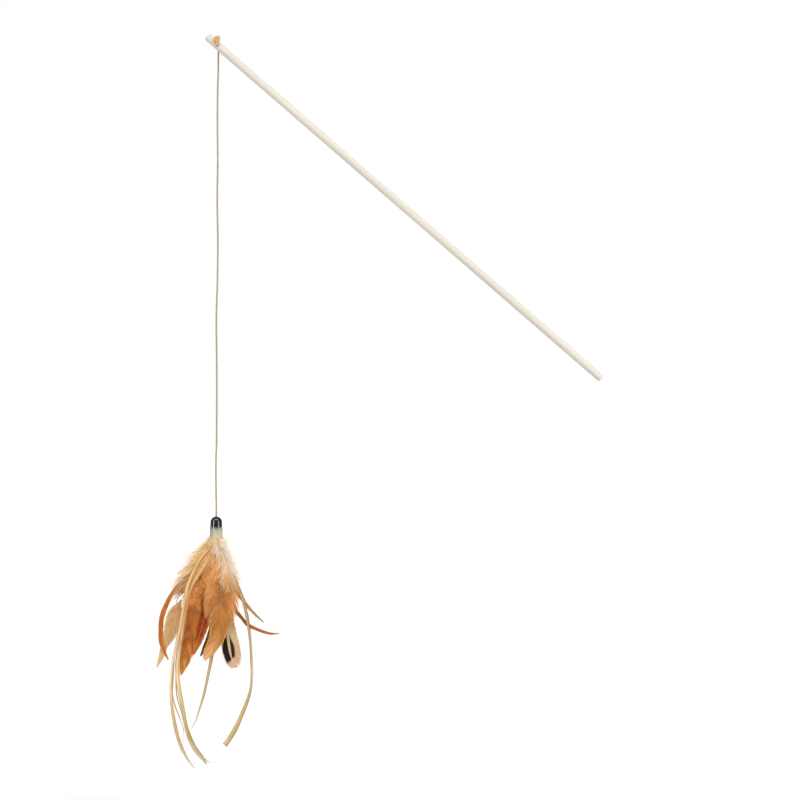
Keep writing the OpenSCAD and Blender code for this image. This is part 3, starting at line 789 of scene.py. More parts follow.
# Loose curly barbs that lie over the front of a feather between two stations
def curlRows(route, look, rand):
    rows = []
    length, mouth = route["length"], route["mouth"]
    for _ in range(look["curlCount"]):
        size = rand.uniform(0.6, 1.0) * look["curlLength"] * mm
        side = rand.uniform(0.3, 0.95)
        rows.append({
            "hand": rand.choice((-1, 1)),
            "start": mouth + rand.uniform(*look["curlFrom"]) * (length - mouth),
            "root": rand.uniform(*curls["root"]) * mm, "over": rand.uniform(*curls["over"]) * mm,
            "wide": size * side, "reach": size * math.sqrt(1 - side * side),
            "lift": rand.uniform(*curls["lift"]) * mm, "droop": 0, "pull": 0, "bow": rand.uniform(1.0, 1.9),
            "wave": rand.uniform(*curls["wave"]) * mm, "phase": rand.uniform(0, fullTurn),
            "curls": rand.uniform(1.0, 2.4), "width": rand.uniform(*curls["width"]) * mm,
            "tilt": rand.uniform(-1, 1), "tone": rand.uniform(*look["curlTone"]),
        })
    return rows


# Single long barbs: some have parted from a hackle's vane, others stand out of the down as wisps
def looseRows(route, look, rand):
    rows = []
    length, mouth = route["length"], route["mouth"]
    for hand, station, reach, across, width in look["loose"]:
        rows.append({
            "hand": hand, "start": mouth + station * (length - mouth), "root": barbs["looseRoot"],
            "over": rand.uniform(*barbs["looseOver"]) * mm, "wide": across * mm, "reach": reach * mm,
            "lift": 0, "droop": 0, "pull": 0, "bow": 1.9, "wave": barbs["looseWave"],
            "phase": rand.uniform(0, fullTurn), "curls": 0.6, "width": width * mm,
            "tilt": rand.uniform(0.1, 0.4), "tone": rand.uniform(0.3, 1),
        })
    return rows


# A lock of barbs that curls over in front of a feather, along a path across and down from its place there
def addCurl(bm, layer, route, curl, rand):
    d = route["mouth"] + curl["station"] * (route["length"] - route["mouth"])
    at, side, front, _ = routeAt(route, [d])
    middle = at[0] + (side[0] * curl["across"] - front[0] * curl["front"]) * mm
    down = np.cross(front[0], side[0])
    thick = curl["thick"] * mm
    for _ in range(curl["barbs"]):
        shake = [rand.uniform(-1, 1) * curl["apart"] for _ in range(3)]
        path = [tuple(middle + (side[0] * (x + shake[0]) + down * (y + shake[1]) + front[0] * shake[2]) * mm)
                for x, y in curl["path"]]
        points, _ = evenRoute(path, twine["ringStep"])
        # full in the middle of the lock and thin at both ends
        sizes = [(1 - 0.8 * u * u, 1 - 0.8 * u * u) for u in np.linspace(-1, 1, len(points))]
        marks = [(curl["station"], rand.uniform(*curl["tone"]))] * len(points)
        outline = [(thick, 0), (0, thick / 2), (-thick, 0), (0, -thick / 2)]
        sweep(bm, outline, pathFrames(points, scales=sizes), layer, marks, 1)


# A mask that is one between two borders, each a pair of marks over which it fades
def rangeMask(tree, values, borders):
    (low, lowEnd), (highStart, high) = borders
    into, out = [
        addNode(tree, "ShaderNodeMapRange", {0: value, 1: zero, 2: one}, interpolation_type="SMOOTHSTEP")
        for value, zero, one in zip(values, (low, high), (lowEnd, highStart))
    ]
    return addNode(tree, "ShaderNodeMath", {0: into.outputs[0], 1: out.outputs[0]},
                   operation="MULTIPLY").outputs[0]


# Feather keratin: satin barbs whose colour runs along the feather, with a rim and patches where there are any
def featherMaterial(name, look):
    material, tree = newMaterial(name)
    mark = addNode(tree, "ShaderNodeAttribute", attribute_name="barb")
    parts = addNode(tree, "ShaderNodeSeparateXYZ", {0: mark.outputs["Vector"]})
    across, station, tone = parts.outputs[0], parts.outputs[1], parts.outputs[2]
    color = addNode(tree, "ShaderNodeValToRGB", {"Fac": station}, stops=look["along"]).outputs[0]
    place = addNode(tree, "ShaderNodeTexCoord")
    blotch = addNode(tree, "ShaderNodeTexNoise", {"Vector": place.outputs["Object"],
                                                  "Scale": 1 / (look["blotch"] * mm), "Detail": 2.0})
    out = addNode(tree, "ShaderNodeMath", {0: across}, operation="ABSOLUTE").outputs[0]
    if "rim" in look:
        edge = addNode(tree, "ShaderNodeMapRange", {0: out, 1: look["rimFrom"], 2: 1.0},
                       interpolation_type="SMOOTHSTEP")
        color = addNode(tree, "ShaderNodeMix", {0: edge.outputs[0], 6: color, 7: hexColor(look["rim"])},
                        data_type="RGBA").outputs[2]
    for patch in look.get("patches", []):
        slanted = addNode(tree, "ShaderNodeMath", {0: out, 1: patch.get("slant", 0.0), 2: station},
                          operation="MULTIPLY_ADD").outputs[0]
        topped = addNode(tree, "ShaderNodeMath", {0: out, 1: -patch.get("point", 0.0), 2: station},
                         operation="MULTIPLY_ADD").outputs[0]
        inStation = rangeMask(tree, (topped, slanted), patch["station"])
        inAcross = rangeMask(tree, (across, across), patch["across"])
        mask = addNode(tree, "ShaderNodeMath", {0: inStation, 1: inAcross}, operation="MULTIPLY").outputs[0]
        color = addNode(tree, "ShaderNodeMix", {0: mask, 6: color, 7: hexColor(patch["color"])},
                        data_type="RGBA").outputs[2]
    shade = addNode(tree, "ShaderNodeMath", {0: tone, 1: blotch.outputs["Fac"]}, operation="ADD")
    level = addNode(tree, "ShaderNodeMapRange", {0: shade.outputs[0], 1: 0.4, 2: 1.6,
                                                 3: look["dim"] * (1 - look["mottle"]),
                                                 4: look["dim"] * (1 + look["mottle"])})
    varied = addNode(tree, "ShaderNodeHueSaturation", {"Value": level.outputs[0], "Color": color})
    finishMaterial(tree, {"Base Color": varied.outputs[0], "Roughness": look["roughness"],
                          "Specular IOR Level": 0.15})
    return material


# Quill and rachis: horn-like, smooth, from pale in the cap to the feather's own brown
def rachisMaterial(name, pale, dark):
    material, tree = newMaterial(name)
    mark = addNode(tree, "ShaderNodeAttribute", attribute_name="barb")
    parts = addNode(tree, "ShaderNodeSeparateXYZ", {0: mark.outputs["Vector"]})
    color = addNode(tree, "ShaderNodeValToRGB", {"Fac": parts.outputs[1]}, stops=[(0.1, pale), (0.6, dark)])
    finishMaterial(tree, {"Base Color": color.outputs[0], "Roughness": 0.35, "Specular IOR Level": 0.2})
    return material


tanDown = [(0.0, "#fbdfa0"), (0.08, "#ffce84"), (0.2, "#ffc47c"), (0.34, "#f8ae64"), (0.5, "#d08444")]
paleDown = [(0.0, "#fbf0d0"), (0.2, "#fbe2b4"), (0.5, "#f0ca92"), (0.9, "#e0b882")]
blushDown = [(0.0, "#fbf0d0"), (0.1, "#fde0a4"), (0.26, "#ffd890"), (0.36, "#fee8d0"), (0.5, "#fce2cc")]
# What every feather shares unless its own row says otherwise. Lengths are in millimetres, and places along a
# feather are shares of it: of the part below the cap's mouth, or for the rachis of the whole
vane = {
    "vaneFrom": 0.2, "skew": 0, "wideBy": 1.0, "narrow": ((0, 1), (1, 1)),  # the vane's start and its width
    "base": 4, "baseTo": 0.55,  # how much further the looser barbs at its foot reach, and where that ends
    "spacing": 0.4, "barbWidth": 0.5, "sweep": 1.3, "step": 1.2, "bow": 1.35, "droop": -0.6,  # its barbs
    "clump": (1.5, 5), "pull": (0.05, 0.3), "ragged": 0.08, "clumpTone": 0.6,  # how they part into clumps
    "mottle": 0.25, "blotch": 5, "dim": 0.84, "roughness": 0.55,  # how unevenly it is coloured, and how light
    "downFrom": 0.5, "downTo": 0.45, "downCount": 500, "downLength": 15, "downSpread": 60, "downOver": 0,
    "downHands": (-1, 1), "downWidth": (0.16, 0.34), "down": tanDown,
    "curlCount": 0, "curlLength": 9, "curlFrom": (0.3, 0.42), "curlTone": (-1.8, 0.3),
    "loose": (),  # side, station of the root, reach down and across, width
    "rachis": ("#e6d6b0", "#b88450"), "quill": ((0, 0.12, 1), (0.5, 0.42, 0.1)),  # colours; places, radii
}
feathers = {
    "left_hackle_feather": dict(
        slot="brown_feather", vaneFrom=0.16, base=1.5, baseTo=0.35, sweep=2.2, step=2.2, spacing=0.34,
        barbWidth=0.44, pull=(0.1, 0.35), ragged=0.12, wideBy=1.1, downCount=420, downLength=12, downTo=0.32,
        down=blushDown, downHands=(-1, -1, 1), narrow=((0.2, 0.42, 0.56), (0.25, 0.55, 1)),
        along=[(0.1, "#ecd2a0"), (0.34, "#deaa70"), (0.48, "#c6742c"), (1.0, "#c0702a")],
        rim="#d89c56", rimFrom=0.7, rachis=("#e2c890", "#96561e"),
        loose=((-1, 0.17, 26, 7.5, 0.7), (-1, 0.18, 25, 7.0, 0.7), (-1, 0.2, 22, 6.0, 0.6),
               (-1, 0.22, 24, 4.6, 0.8), (-1, 0.24, 22, 4.0, 0.8), (-1, 0.26, 22, 3.0, 0.8),
               (1, 0.24, 22, 2.6, 0.6), (1, 0.26, 24, 2.4, 0.7), (1, 0.3, 22, 3.0, 0.5))),
    "left_peach_feather": dict(
        slot="peach_feather", vaneFrom=0.6, base=2.5, spacing=0.42, barbWidth=0.42, ragged=0.05,
        pull=(0.02, 0.15), mottle=0.18,
        along=[(0.2, "#f8dcb0"), (0.5, "#f4c890"), (1.0, "#eebc82")], rim="#f4d0a0", rimFrom=0.6,
        downCount=360, downLength=13, downTo=0.5, down=blushDown, rachis=("#efe0c0", "#cc9864")),
    "left_tan_feather": dict(
        slot="tan_feather", vaneFrom=0.6, base=2, spacing=0.42, barbWidth=0.42, mottle=0.15,
        along=[(0.2, "#f4e0be"), (0.6, "#f0ce9a"), (1.0, "#ecc48e")], rim="#f2dab2", rimFrom=0.6,
        downCount=360, down=blushDown, rachis=("#efe0c0", "#d4a874")),
    "left_copper_feather": dict(
        slot="copper_feather", base=6, mottle=0.55, ragged=0.06, pull=(0.02, 0.15), dim=1.06, spacing=0.36,
        clump=(2, 7),
        along=[(0.04, "#ffe0ac"), (0.2, "#ffce8e"), (0.36, "#feb66c"), (0.52, "#c07738"), (0.8, "#ae692e"),
               (1.0, "#c0883f")],
        patches=[dict(station=((0.45, 0.55), (0.74, 0.85)), across=((-0.6, -0.3), (0.1, 0.4)),
                      color="#9d5620")],
        rim="#d4924a", rimFrom=0.8, curlCount=60, curlFrom=(0.3, 0.56), curlTone=(-1.0, 0.6),
        rachis=("#e0b080", "#a2602c")),
    "rust_feather": dict(
        slot="rust_feather", base=5, mottle=0.35,
        along=[(0.05, "#f4c88c"), (0.2, "#e8a864"), (0.38, "#cc7c34"), (0.5, "#ae5210"), (0.8, "#b65814"),
               (1.0, "#bc6c2c")],
        patches=[dict(station=((0.46, 0.56), (0.8, 0.9)), across=((-0.8, -0.5), (0.3, 0.7)),
                      color="#923400")],
        rim="#c87830", rimFrom=0.6),
    "slim_feather": dict(
        slot="brown_feather", vaneFrom=0.4, base=1.5, sweep=2.0, downCount=160,
        along=[(0.3, "#dcb88a"), (0.8, "#b88050"), (0.88, "#6a3428"), (1.0, "#4a2a26")],
        rachis=("#dcc8a0", "#5a3020")),
    "middle_copper_feather": dict(
        slot="copper_feather", clump=(2, 7), downCount=700, base=8, baseTo=0.6, mottle=0.22, downOver=0.8,
        dim=0.97, quill=((0, 0.5, 1), (0.56, 0.5, 0.1)),
        along=[(0.03, "#fbdcaa"), (0.14, "#fbc688"), (0.28, "#eeb070"), (0.42, "#de9a5c"), (0.54, "#be7c40"),
               (0.66, "#a2642a"), (0.84, "#bc864a"), (1.0, "#e0ba8c")],
        patches=[dict(station=((0.8, 0.86), (0.9, 0.96)), across=((-0.7, -0.3), (0.1, 0.3)),
                      color="#d09468")],
        rim="#d09250", rimFrom=0.7, curlCount=80, curlFrom=(0.28, 0.54), curlTone=(-1.2, 0.6),
        rachis=("#e8b894", "#b47840"),
        # a dark lock of barbs: its middle, how far its barbs lie apart, and its path across and down
        curl=dict(station=0.4, across=-2.2, front=4.0, barbs=7, apart=0.6, thick=0.24, tone=(-1.6, -0.6),
                  path=((-3.9, -4.1), (-1.8, -3.2), (0.3, -2.2), (1.8, 0.2), (2.6, 2.8), (3.2, 5.9),
                        (2.8, 9.4)))),
    "black_tan_feather": dict(
        slot="black_tan_feather", vaneFrom=0.25, ragged=0.01, pull=(0.0, 0.03), sweep=1.2, step=1.0,
        skew=-0.2, spacing=0.34, barbWidth=0.62, clumpTone=0.3,
        along=[(0.1, "#f0cc90"), (0.3, "#e4b87e"), (0.55, "#dcb27a"), (0.7, "#e2c496"), (1.0, "#e2b290")],
        patches=[dict(station=((0.7, 0.73), (0.93, 0.96)), across=((-0.9, -0.8), (-0.14, -0.06)), slant=0.07,
                      point=0.06, color="#0d0c05"),
                 dict(station=((0.7, 0.74), (0.91, 0.94)), across=((0.08, 0.14), (0.34, 0.5)), slant=0.07,
                      point=0.2, color="#15110a")],
        rim="#e6bc98", rimFrom=0.75, mottle=0.12, dim=0.76,
        rachis=("#e6d6b0", "#dcb484")),
    "cream_feather": dict(
        slot="cream_feather", vaneFrom=0.55, base=2, spacing=0.5, barbWidth=0.3, sweep=1.2, ragged=0.25,
        pull=(0.1, 0.3), downCount=1100, downTo=0.93, downLength=12, downSpread=50, downWidth=(0.16, 0.3),
        downHands=(-1, 1, 1, 1), mottle=0.08,
        down=[(0.0, "#faf2e2"), (0.3, "#f8eedc"), (0.55, "#f8e4ca"), (0.75, "#eac694"), (0.95, "#d69e62")],
        along=[(0.0, "#f4e4c4"), (0.6, "#f0cc9c"), (1.0, "#eab47c")], rim="#f0dcb8", rimFrom=0.6,
        rachis=("#f2e6cc", "#e6c498"), curlCount=160, curlLength=8, curlFrom=(0.05, 0.22), curlTone=(0.3, 1),
        loose=((1, 0.04, 5, 9, 0.36), (1, 0.08, 4, 11, 0.36), (1, 0.12, 5, 12, 0.36), (1, 0.2, 4, 12, 0.36),
               (1, 0.3, 6, 11, 0.36))),
    "right_hackle_feather": dict(
        slot="brown_feather", vaneFrom=0.3, base=1.2, baseTo=0.4, sweep=2.0, step=2.0, spacing=0.34,
        barbWidth=0.4, ragged=0.12, pull=(0.1, 0.35), downCount=260, downLength=12, wideBy=0.8,
        along=[(0.3, "#dcae72"), (0.44, "#6e3a1e"), (0.54, "#4e2a14"), (0.64, "#a85c24"), (1.0, "#ca8846")],
        rachis=("#dcc090", "#6a3a14")),
    "right_dark_feather": dict(
        slot="brown_feather", vaneFrom=0.3, base=1.8, sweep=2.4, step=3, wideBy=0.8, ragged=0.5,
        clump=(0.6, 1.6), barbWidth=0.3, downCount=380, downLength=13, down=paleDown,
        along=[(0.3, "#ecd6aa"), (0.55, "#dcb278"), (0.8, "#c49a62"), (1.0, "#6e665c")],
        rim="#dcba88", rimFrom=0.6, rachis=("#e0d0a8", "#8a6a44")),
    "golden_feather": dict(
        slot="golden_feather", vaneFrom=0.05, base=5, clump=(2, 6), downCount=600, downTo=0.6, baseTo=0.9,
        downOver=-2.5, dim=1.26,
        along=[(0.0, "#fbdc9c"), (0.25, "#fbc474"), (0.7, "#eca852"), (1.0, "#dc9646")],
        rim="#f0bc6c", rimFrom=0.6, rachis=("#f0dcaa", "#d09c50"), curlCount=120, curlFrom=(0.1, 0.5),
        curlTone=(-0.8, 1)),
    "downy_feather": dict(
        slot="cream_feather", vaneFrom=0.6, base=2, spacing=0.6, barbWidth=0.3, sweep=1.2, ragged=0.3,
        pull=(0.1, 0.4), downCount=1200, downTo=0.96, downLength=17, downSpread=55, down=paleDown,
        downHands=(-1, -1, -1, -1, 1), mottle=0.1,
        along=[(0.0, "#f0e6c8"), (0.5, "#ecd09c"), (1.0, "#e0b880")], rachis=("#efe6cc", "#dcc096"),
        loose=((-1, 0.1, 7, 5, 0.4), (-1, 0.16, 9, 7, 0.36), (-1, 0.22, 6, 8, 0.4), (-1, 0.28, 8, 10, 0.36),
               (-1, 0.34, 5, 10, 0.4), (-1, 0.4, 7, 12, 0.36), (-1, 0.46, 5, 11.5, 0.4),
               (-1, 0.52, 6, 13, 0.36), (-1, 0.58, 5, 12, 0.4), (-1, 0.64, 7, 13, 0.36),
               (-1, 0.7, 5, 12, 0.4), (-1, 0.76, 7, 12, 0.36))),
}


# Down: matt and pale near the cap, taking the feather's own colour further down. The colour follows one part
# of the barb's marks: 0 runs along each barb and 1 from the feather's top to its tip
def downMaterial(name, stops, part=1):
    material, tree = newMaterial(name)
    mark = addNode(tree, "ShaderNodeAttribute", attribute_name="barb")
    parts = addNode(tree, "ShaderNodeSeparateXYZ", {0: mark.outputs["Vector"]})
    color = addNode(tree, "ShaderNodeValToRGB", {"Fac": parts.outputs[part]}, stops=stops)
    level = addNode(tree, "ShaderNodeMapRange", {0: parts.outputs[2], 1: -2.0, 3: 0.35, 4: 1.06})
    varied = addNode(tree, "ShaderNodeHueSaturation", {"Value": level.outputs[0], "Color": color.outputs[0]})
    finishMaterial(tree, {"Base Color": varied.outputs[0], "Roughness": 0.75, "Specular IOR Level": 0.0})
    return material


# Frames of a strand at places along its route, as wide and thick as the sizes say
def strandFrames(at, side, front, wides, thicks):
    frames = []
    for i in range(len(at)):
        ahead = Vector(np.cross(front[i], side[i]))
        basis = Matrix((Vector(side[i]), Vector(front[i]), ahead)).transposed().to_4x4()
        frames.append(Matrix.Translation(at[i]) @ basis @ Matrix.Diagonal((wides[i], thicks[i], 1, 1)))
    return frames


# The rachis: its rings, its sides, and the share of the feather that it reaches
rachis = {"rings": 40, "sides": 6, "reach": 0.97, "tone": 0.5}


def makeFeather(name, own, seed):
    look = {**vane, **own}
    rand = random.Random(seed)
    route = strandRoute(name)
    route["at"] = route["at"] + route["side"] * (route["half"] * look["skew"])[:, None]
    short = name.replace("_feather", "")
    bm = bmesh.new()
    layBarbs(bm, vaneBarb, route, vaneRows(route, look, rand) + looseRows(route, look, rand), 0)
    layBarbs(bm, downBarb, route, downRows(route, look, rand) + curlRows(route, look, rand), 1)
    # the rachis is swept from the quill in the cap to just short of the tip
    places = np.linspace(0, route["length"] * rachis["reach"], rachis["rings"])
    at, side, front, _ = routeAt(route, places)
    radii = np.interp(places / route["length"], *look["quill"]) * mm
    station = (places - route["mouth"]) / (route["length"] - route["mouth"])
    angles = [2 * math.pi * k / rachis["sides"] for k in range(rachis["sides"])]
    outline = [(math.cos(angle), math.sin(angle)) for angle in angles]
    layer = bm.verts.layers.float_vector["barb"]
    sweep(bm, outline, strandFrames(at, side, front, radii, radii), layer,
          [(float(s), rachis["tone"]) for s in station], 2)
    if "curl" in look:
        addCurl(bm, layer, route, look["curl"], rand)
    materials = [featherMaterial(short + "Vane", look), downMaterial(short + "Down", look["down"]),
                 rachisMaterial(short + "Rachis", *look["rachis"])]
    newPiece(bm, short + "_plume", "lure", materials, [name])


# Loose down at the cap's mouth. In millimetres: where its barbs start, up or down from the rim as sense says,
# their reach that way, and how far from the lure's axis they begin and end
collar = {
    "collar_down_upper": dict(sense=1, count=1100, start=(-2.5, -0.5), reach=(3, 9), root=(4.3, 4.5),
                              tip=(4.6, 5.0), bow=1.6, width=(0.16, 0.3),
                              down=[(0.0, "#dcd4b4"), (0.5, "#dcd6bc"), (1.0, "#cccbba")]),
    "collar_down_lower": dict(sense=-1, count=1000, start=(-1.5, 4), reach=(3, 15), root=(2.6, 4.2),
                              tip=(4.6, 11.5), bow=0.6, width=(0.18, 0.34),
                              down=[(0.05, "#dcd0a8"), (0.3, "#ecd6a8"), (1.0, "#f8d49c")]),
}


# The straight route that it is laid along runs this far to both sides of the rim
collarRoute = {"reach": 12 * mm, "rings": 25, "wave": (0.05, 0.3), "seed": 150}


# Some of it stands up over the cap's lower half, the rest hangs round the bundle
def makeCollar(name, look, seed):
    rand = random.Random(seed)
    axis = joint["lure_swing"]
    over = collarRoute["reach"]
    gone = np.linspace(0, 2 * over, collarRoute["rings"])
    at = np.stack([0 * gone + axis.x, 0 * gone + axis.y, mouthZ + look["sense"] * (gone - over)], -1)
    ones = np.ones((len(at), 1))
    route = {"at": at, "side": ones * [1, 0, 0], "front": ones * [0, 1, 0],
             "ahead": ones * [0, 0, look["sense"]], "half": ones[:, 0], "gone": gone, "length": 2 * over,
             "mouth": over}
    rows = []
    for _ in range(look["count"]):
        angle = rand.uniform(0, 2 * math.pi)
        root = rand.uniform(*look["root"]) * mm
        grown = (look["tip"][0] + (look["tip"][1] - look["tip"][0]) * rand.random() ** 2) * mm - root
        rows.append({
            "hand": 1, "start": over + rand.uniform(*look["start"]) * mm, "root": root * math.cos(angle),
            "over": root * math.sin(angle), "wide": grown * math.cos(angle),
            "reach": rand.uniform(*look["reach"]) * mm, "lift": grown * math.sin(angle) * look["bow"],
            "droop": grown * math.sin(angle) * (1 - look["bow"]), "pull": 0, "bow": look["bow"],
            "wave": rand.uniform(*collarRoute["wave"]) * mm, "phase": rand.uniform(0, fullTurn),
            "curls": rand.uniform(0.5, 1.4), "width": rand.uniform(*look["width"]) * mm,
            "tilt": angle + math.pi / 2 + rand.uniform(-0.4, 0.4), "tone": rand.uniform(0, 1),
        })
    bm = bmesh.new()
    layBarbs(bm, downBarb, route, rows)
    material = downMaterial(name.replace("_", "") + "Look", look["down"], 0)
    newPiece(bm, name, "lure", [material])


for number, (name, own) in enumerate(feathers.items()):
    makeFeather(name, own, barbs["seed"] + number)
for number, (name, look) in enumerate(collar.items()):
    makeCollar(name, look, collarRoute["seed"] + number)
print("feathers dressed")

# Raffia
raffia = {
    "thick": 0.26 * mm,
    "cup": 0.22 * mm,  # how far its edges stand behind its middle, and how deep its fold is
    "fold": 0.3 * mm,
    "foldAt": 0.35,  # from the middle to the right edge
    "ridge": 0.05 * mm,
    "ringStep": 1.5 * mm,
    "columns": 9,
    "fullHalf": 0.8 * mm,  # a strip with a smaller half width is thinner too
    "fibreRings": 12,
    "fibreFront": 0.25 * mm,
    "apart": 3.0,  # so that no two strips carry the same grain
    "relief": 0.1 * mm,
    "roughness": 0.5,
    "seed": 200,
}
# Colours of a strip from the cap down: the lighter one on its ribs and on its painted lit face, the darker
# one in its grooves and as painted shade past its fold and along its left edge
goldLight = [(0.1, "#dcb470"), (0.3, "#e0b87c"), (0.5, "#e6c6a0"), (0.64, "#eed8ae"), (0.7, "#e4cba0"),
             (0.75, "#d2b68a"), (0.84, "#cfb184"), (0.9, "#dcc094"), (1.0, "#d2c6a6")]
goldDark = [(0.1, "#b07c4a"), (0.3, "#b07846"), (0.5, "#a87e50"), (0.64, "#c0a474"), (0.72, "#ac9464"),
            (0.88, "#9c8650"), (1.0, "#a49a70")]
brownLight = [(0.2, "#b08458"), (0.45, "#c0a07c"), (0.7, "#c8ac84"), (0.96, "#ccb074"), (0.98, "#dcb49c")]
brownDark = [(0.2, "#8c5828"), (0.45, "#94744c"), (0.7, "#9a7e54"), (1.0, "#a0905e")]
# Painted light and shade across a strip, from its left edge to its right one: shaded at the left edge, lit up
# to the fold, shaded past it and a little lighter again at the right edge
paintedFoldLight = [(0.0, "#606060"), (0.14, "#ffffff"), (0.45, "#f0f0f0"), (0.7, "#505050"), (0.88, "#585858"),
               (1.0, "#c0c0c0")]
# Each strip's colours; its taper and shift: shares of the length, with the width's factor there, or with how
# far the strip hangs to the right and behind its packed route in millimetres; and its loose fibres: shares of
# the length where each leaves and ends, its place across there in half widths, how far its end stands off
# across and down, and its half thickness, in millimetres
strips = {
    "outer_left_raffia": dict(
        light=goldLight, dark=goldDark, taper=((0.7, 0.8, 0.9, 1), (1, 1.15, 1.15, 0.4)),
        shift=((0, 1), (0, 0), (0, 0)), fibres=[(0.8, 1.0, -0.8, -0.8, 1, 0.2)]),
    "inner_left_raffia": dict(
        light=goldLight, dark=goldDark, taper=((0.84, 0.88, 0.95, 0.975, 1), (1, 1.28, 1.4, 1.2, 0.5)),
        shift=((0, 0.5, 0.72, 0.78, 0.84, 0.88, 0.93, 0.975, 1), (0, 0, 0.9, 0.6, -0.2, -0.9, -0.6, 1.0, 1.6),
               (0, 0, 0, 0, 0, 0, 0, 0, 0)),
        # two prongs of the split end, the wisp beside them and two fibres along the strip
        fibres=[(0.93, 1.0, 1.3, 0.6, 0, 0.42), (0.93, 1.01, -0.7, 0.0, 1, 0.42),
                (0.98, 1.0, 1.2, 7.5, 3.5, 0.34), (0.86, 1.0, 0.7, 1.0, 2.5, 0.2),
                (0.5, 0.8, -0.8, -0.5, 0, 0.16)]),
    "thin_left_raffia": dict(
        light=brownLight, dark=goldDark, taper=((0.8, 1), (1, 0.4)),
        shift=((0, 0.4, 0.54, 0.66, 0.77, 0.82, 0.88, 1), (0, 0, -0.8, -1.6, -1.3, -1.1, -1.8, -1.9),
               (0, 0, 0, 0, 0, 0, 0, 0)),
        fibres=[(0.97, 1.0, -0.4, -13.0, 18.0, 0.3)]),
    "fine_left_raffia": dict(
        light=brownLight, dark=goldDark, taper=((0.7, 1), (1, 0.5)),
        shift=((0, 0.4, 0.68, 1), (0, -1.0, -2.1, -2.3), (0, 0, 0, 0)),
        fibres=[(0.85, 1.0, 0.6, 0.6, 1, 0.16)]),
    "middle_raffia": dict(
        light=brownLight, dark=brownDark,
        taper=((0.62, 0.74, 0.8, 0.86, 0.9, 1), (1, 1.15, 1.1, 0.88, 0.65, 0.55)),
        shift=((0, 0.4, 0.64, 0.7, 0.76, 0.82, 0.9, 0.95, 1),
               (0, -1.0, -1.1, -0.7, -0.15, 0.05, 0.2, 0.9, 0.4), (0, 0, 0, 0, 0, 0, 0, 0, 0)),
        fibres=[(0.8, 1.0, 0.6, 0.4, 1, 0.16)]),
    "right_raffia": dict(
        light=brownLight, dark=brownDark,
        taper=((0, 0.6, 0.65, 0.73, 0.8, 0.87, 0.91, 1), (1, 1, 0.7, 0.75, 0.95, 1.05, 1.3, 1.35)),
        shift=((0, 0.1, 0.24, 0.32, 0.42, 0.6, 0.8), (0, 0, 0, 0, 0, -0.5, -0.8),
               (0, 0, -9, -12, -12, -6, 0)),
        fibres=[(0.4, 0.7, 0.8, 0.5, 0, 0.16)]),
}


# Dried palm leaf: satin, with long fibres and slow changes down the strip, and painted light and shade across
# it: lit up to its fold, shaded past it and darker at its left edge
def raffiaMaterial(name, look, length):
    material, tree = newMaterial(name)
    mark = addNode(tree, "ShaderNodeAttribute", attribute_name="barb")
    parts = addNode(tree, "ShaderNodeSeparateXYZ", {0: mark.outputs["Vector"]})
    station = addNode(tree, "ShaderNodeMapRange", {0: parts.outputs[1], 2: length / mm}).outputs[0]
    # across the strip the marks run from -1 to 1, and along it they are millimetres
    patterns = []
    for across, along, detail, roughness in ((5.0, 0.08, 3.0, 0.6), (1.6, 0.045, 1.0, 0.5)):
        drawn = addNode(tree, "ShaderNodeMapping", {"Vector": mark.outputs["Vector"],
                                                    "Scale": (across, along, 1.0)})
        patterns.append(addNode(tree, "ShaderNodeTexNoise", {"Vector": drawn.outputs[0], "Scale": 1.0,
                                                             "Detail": detail, "Roughness": roughness}))
    fibre, band = [pattern.outputs["Fac"] for pattern in patterns]
    place = addNode(tree, "ShaderNodeMapRange", {0: parts.outputs[0], 1: -1.0, 2: 1.0})
    # painted light and shade across the strip: lit up to its fold and shaded past it
    paintedLightAcross = addNode(tree, "ShaderNodeValToRGB", {"Fac": place.outputs[0]}, stops=paintedFoldLight)
    tone = addNode(tree, "ShaderNodeMath", {0: fibre, 1: band}, operation="ADD")
    # the painted light and shade is added to the grain's tone
    tone = addNode(tree, "ShaderNodeMath", {0: paintedLightAcross.outputs[0], 1: 0.5, 2: tone.outputs[0]},
                   operation="MULTIPLY_ADD")
    level = addNode(tree, "ShaderNodeMapRange", {0: tone.outputs[0], 1: 0.95, 2: 1.6})
    light = addNode(tree, "ShaderNodeValToRGB", {"Fac": station}, stops=look["light"])
    dark = addNode(tree, "ShaderNodeValToRGB", {"Fac": station}, stops=look["dark"])
    color = addNode(tree, "ShaderNodeMix", {0: level.outputs[0], 6: dark.outputs[0], 7: light.outputs[0]},
                    data_type="RGBA")
    bump = addNode(tree, "ShaderNodeBump", {"Height": fibre, "Strength": 0.5, "Distance": raffia["relief"]})
    finishMaterial(tree, {"Base Color": color.outputs[2], "Roughness": raffia["roughness"],
                          "Normal": bump.outputs[0], "Specular IOR Level": 0.25})
    return material


# A strip's marks at places along it: millimetres from its top, and where its own grain starts
def stripMarks(places, seed):
    return [(float(d) / mm, seed * raffia["apart"]) for d in places]


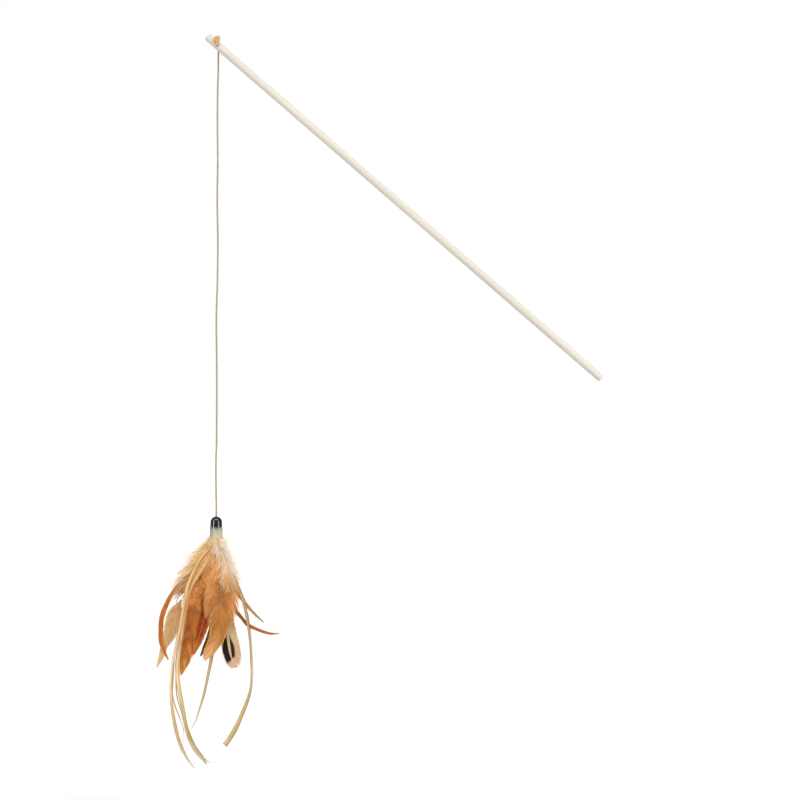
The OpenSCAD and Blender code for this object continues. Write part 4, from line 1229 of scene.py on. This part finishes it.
# A loose fibre that lies along a strip and leaves it towards its end
def addStripFibre(bm, layer, route, fibre, seed):
    begin, end, across, apart, down, thick = fibre
    share = np.linspace(0, 1, raffia["fibreRings"])
    places = route["length"] * (begin + (end - begin) * share)
    at, side, front, half = routeAt(route, places)
    offset = across * half + apart * mm * share ** 2
    points = at + side * offset[:, None] - front * raffia["fibreFront"]
    points = points + route["ahead"][-1] * (share * down * mm)[:, None]
    frames = pathFrames([tuple(p) for p in points], scales=[(1 - 0.5 * u, 1 - 0.5 * u) for u in share])
    r = thick * mm
    sweep(bm, [(r, 0), (-r / 2, r / 2), (-r / 2, -r / 2)], frames, layer, stripMarks(places, seed))


def makeStrip(name, look, seed):
    rand = random.Random(seed)
    route = strandRoute(name)
    share = route["gone"] / route["length"]
    where, *shifts = look["shift"]
    right, behind = [np.interp(share, where, values) * mm for values in shifts]
    route["at"] = route["at"] + np.stack([right, behind, 0 * share], -1)
    places = np.linspace(0, route["length"], round(route["length"] / raffia["ringStep"]))
    at, side, front, half = routeAt(route, places)
    xs = np.linspace(-1, 1, raffia["columns"])
    cup, fold, ridge = raffia["cup"], raffia["fold"], raffia["ridge"]
    ridges = [cup * x * x + fold * abs(x - raffia["foldAt"]) + rand.uniform(-1, 1) * ridge for x in xs]
    near = [(x, rise - raffia["thick"] / 2) for x, rise in zip(xs, ridges)]
    far = [(x, rise + raffia["thick"] / 2) for x, rise in zip(xs, ridges)]
    outline = near + far[::-1]
    taper = np.interp(places / route["length"], *look["taper"])
    wides = [float(h) * rand.uniform(0.96, 1.0) for h in half * taper]
    frames = strandFrames(at, side, front, wides, [min(1, wide / raffia["fullHalf"]) for wide in wides])
    bm = bmesh.new()
    layer = bm.verts.layers.float_vector.new("barb")
    sweep(bm, outline, frames, layer, stripMarks(places, seed))
    for fibre in look["fibres"]:
        addStripFibre(bm, layer, route, fibre, seed)
    material = raffiaMaterial(name.replace("_raffia", "") + "PalmLeaf", look, route["length"])
    newPiece(bm, name.replace("_raffia", "_strip"), "lure", [material], [name])


for number, (name, look) in enumerate(strips.items()):
    makeStrip(name, look, raffia["seed"] + number)
print("raffia hung")
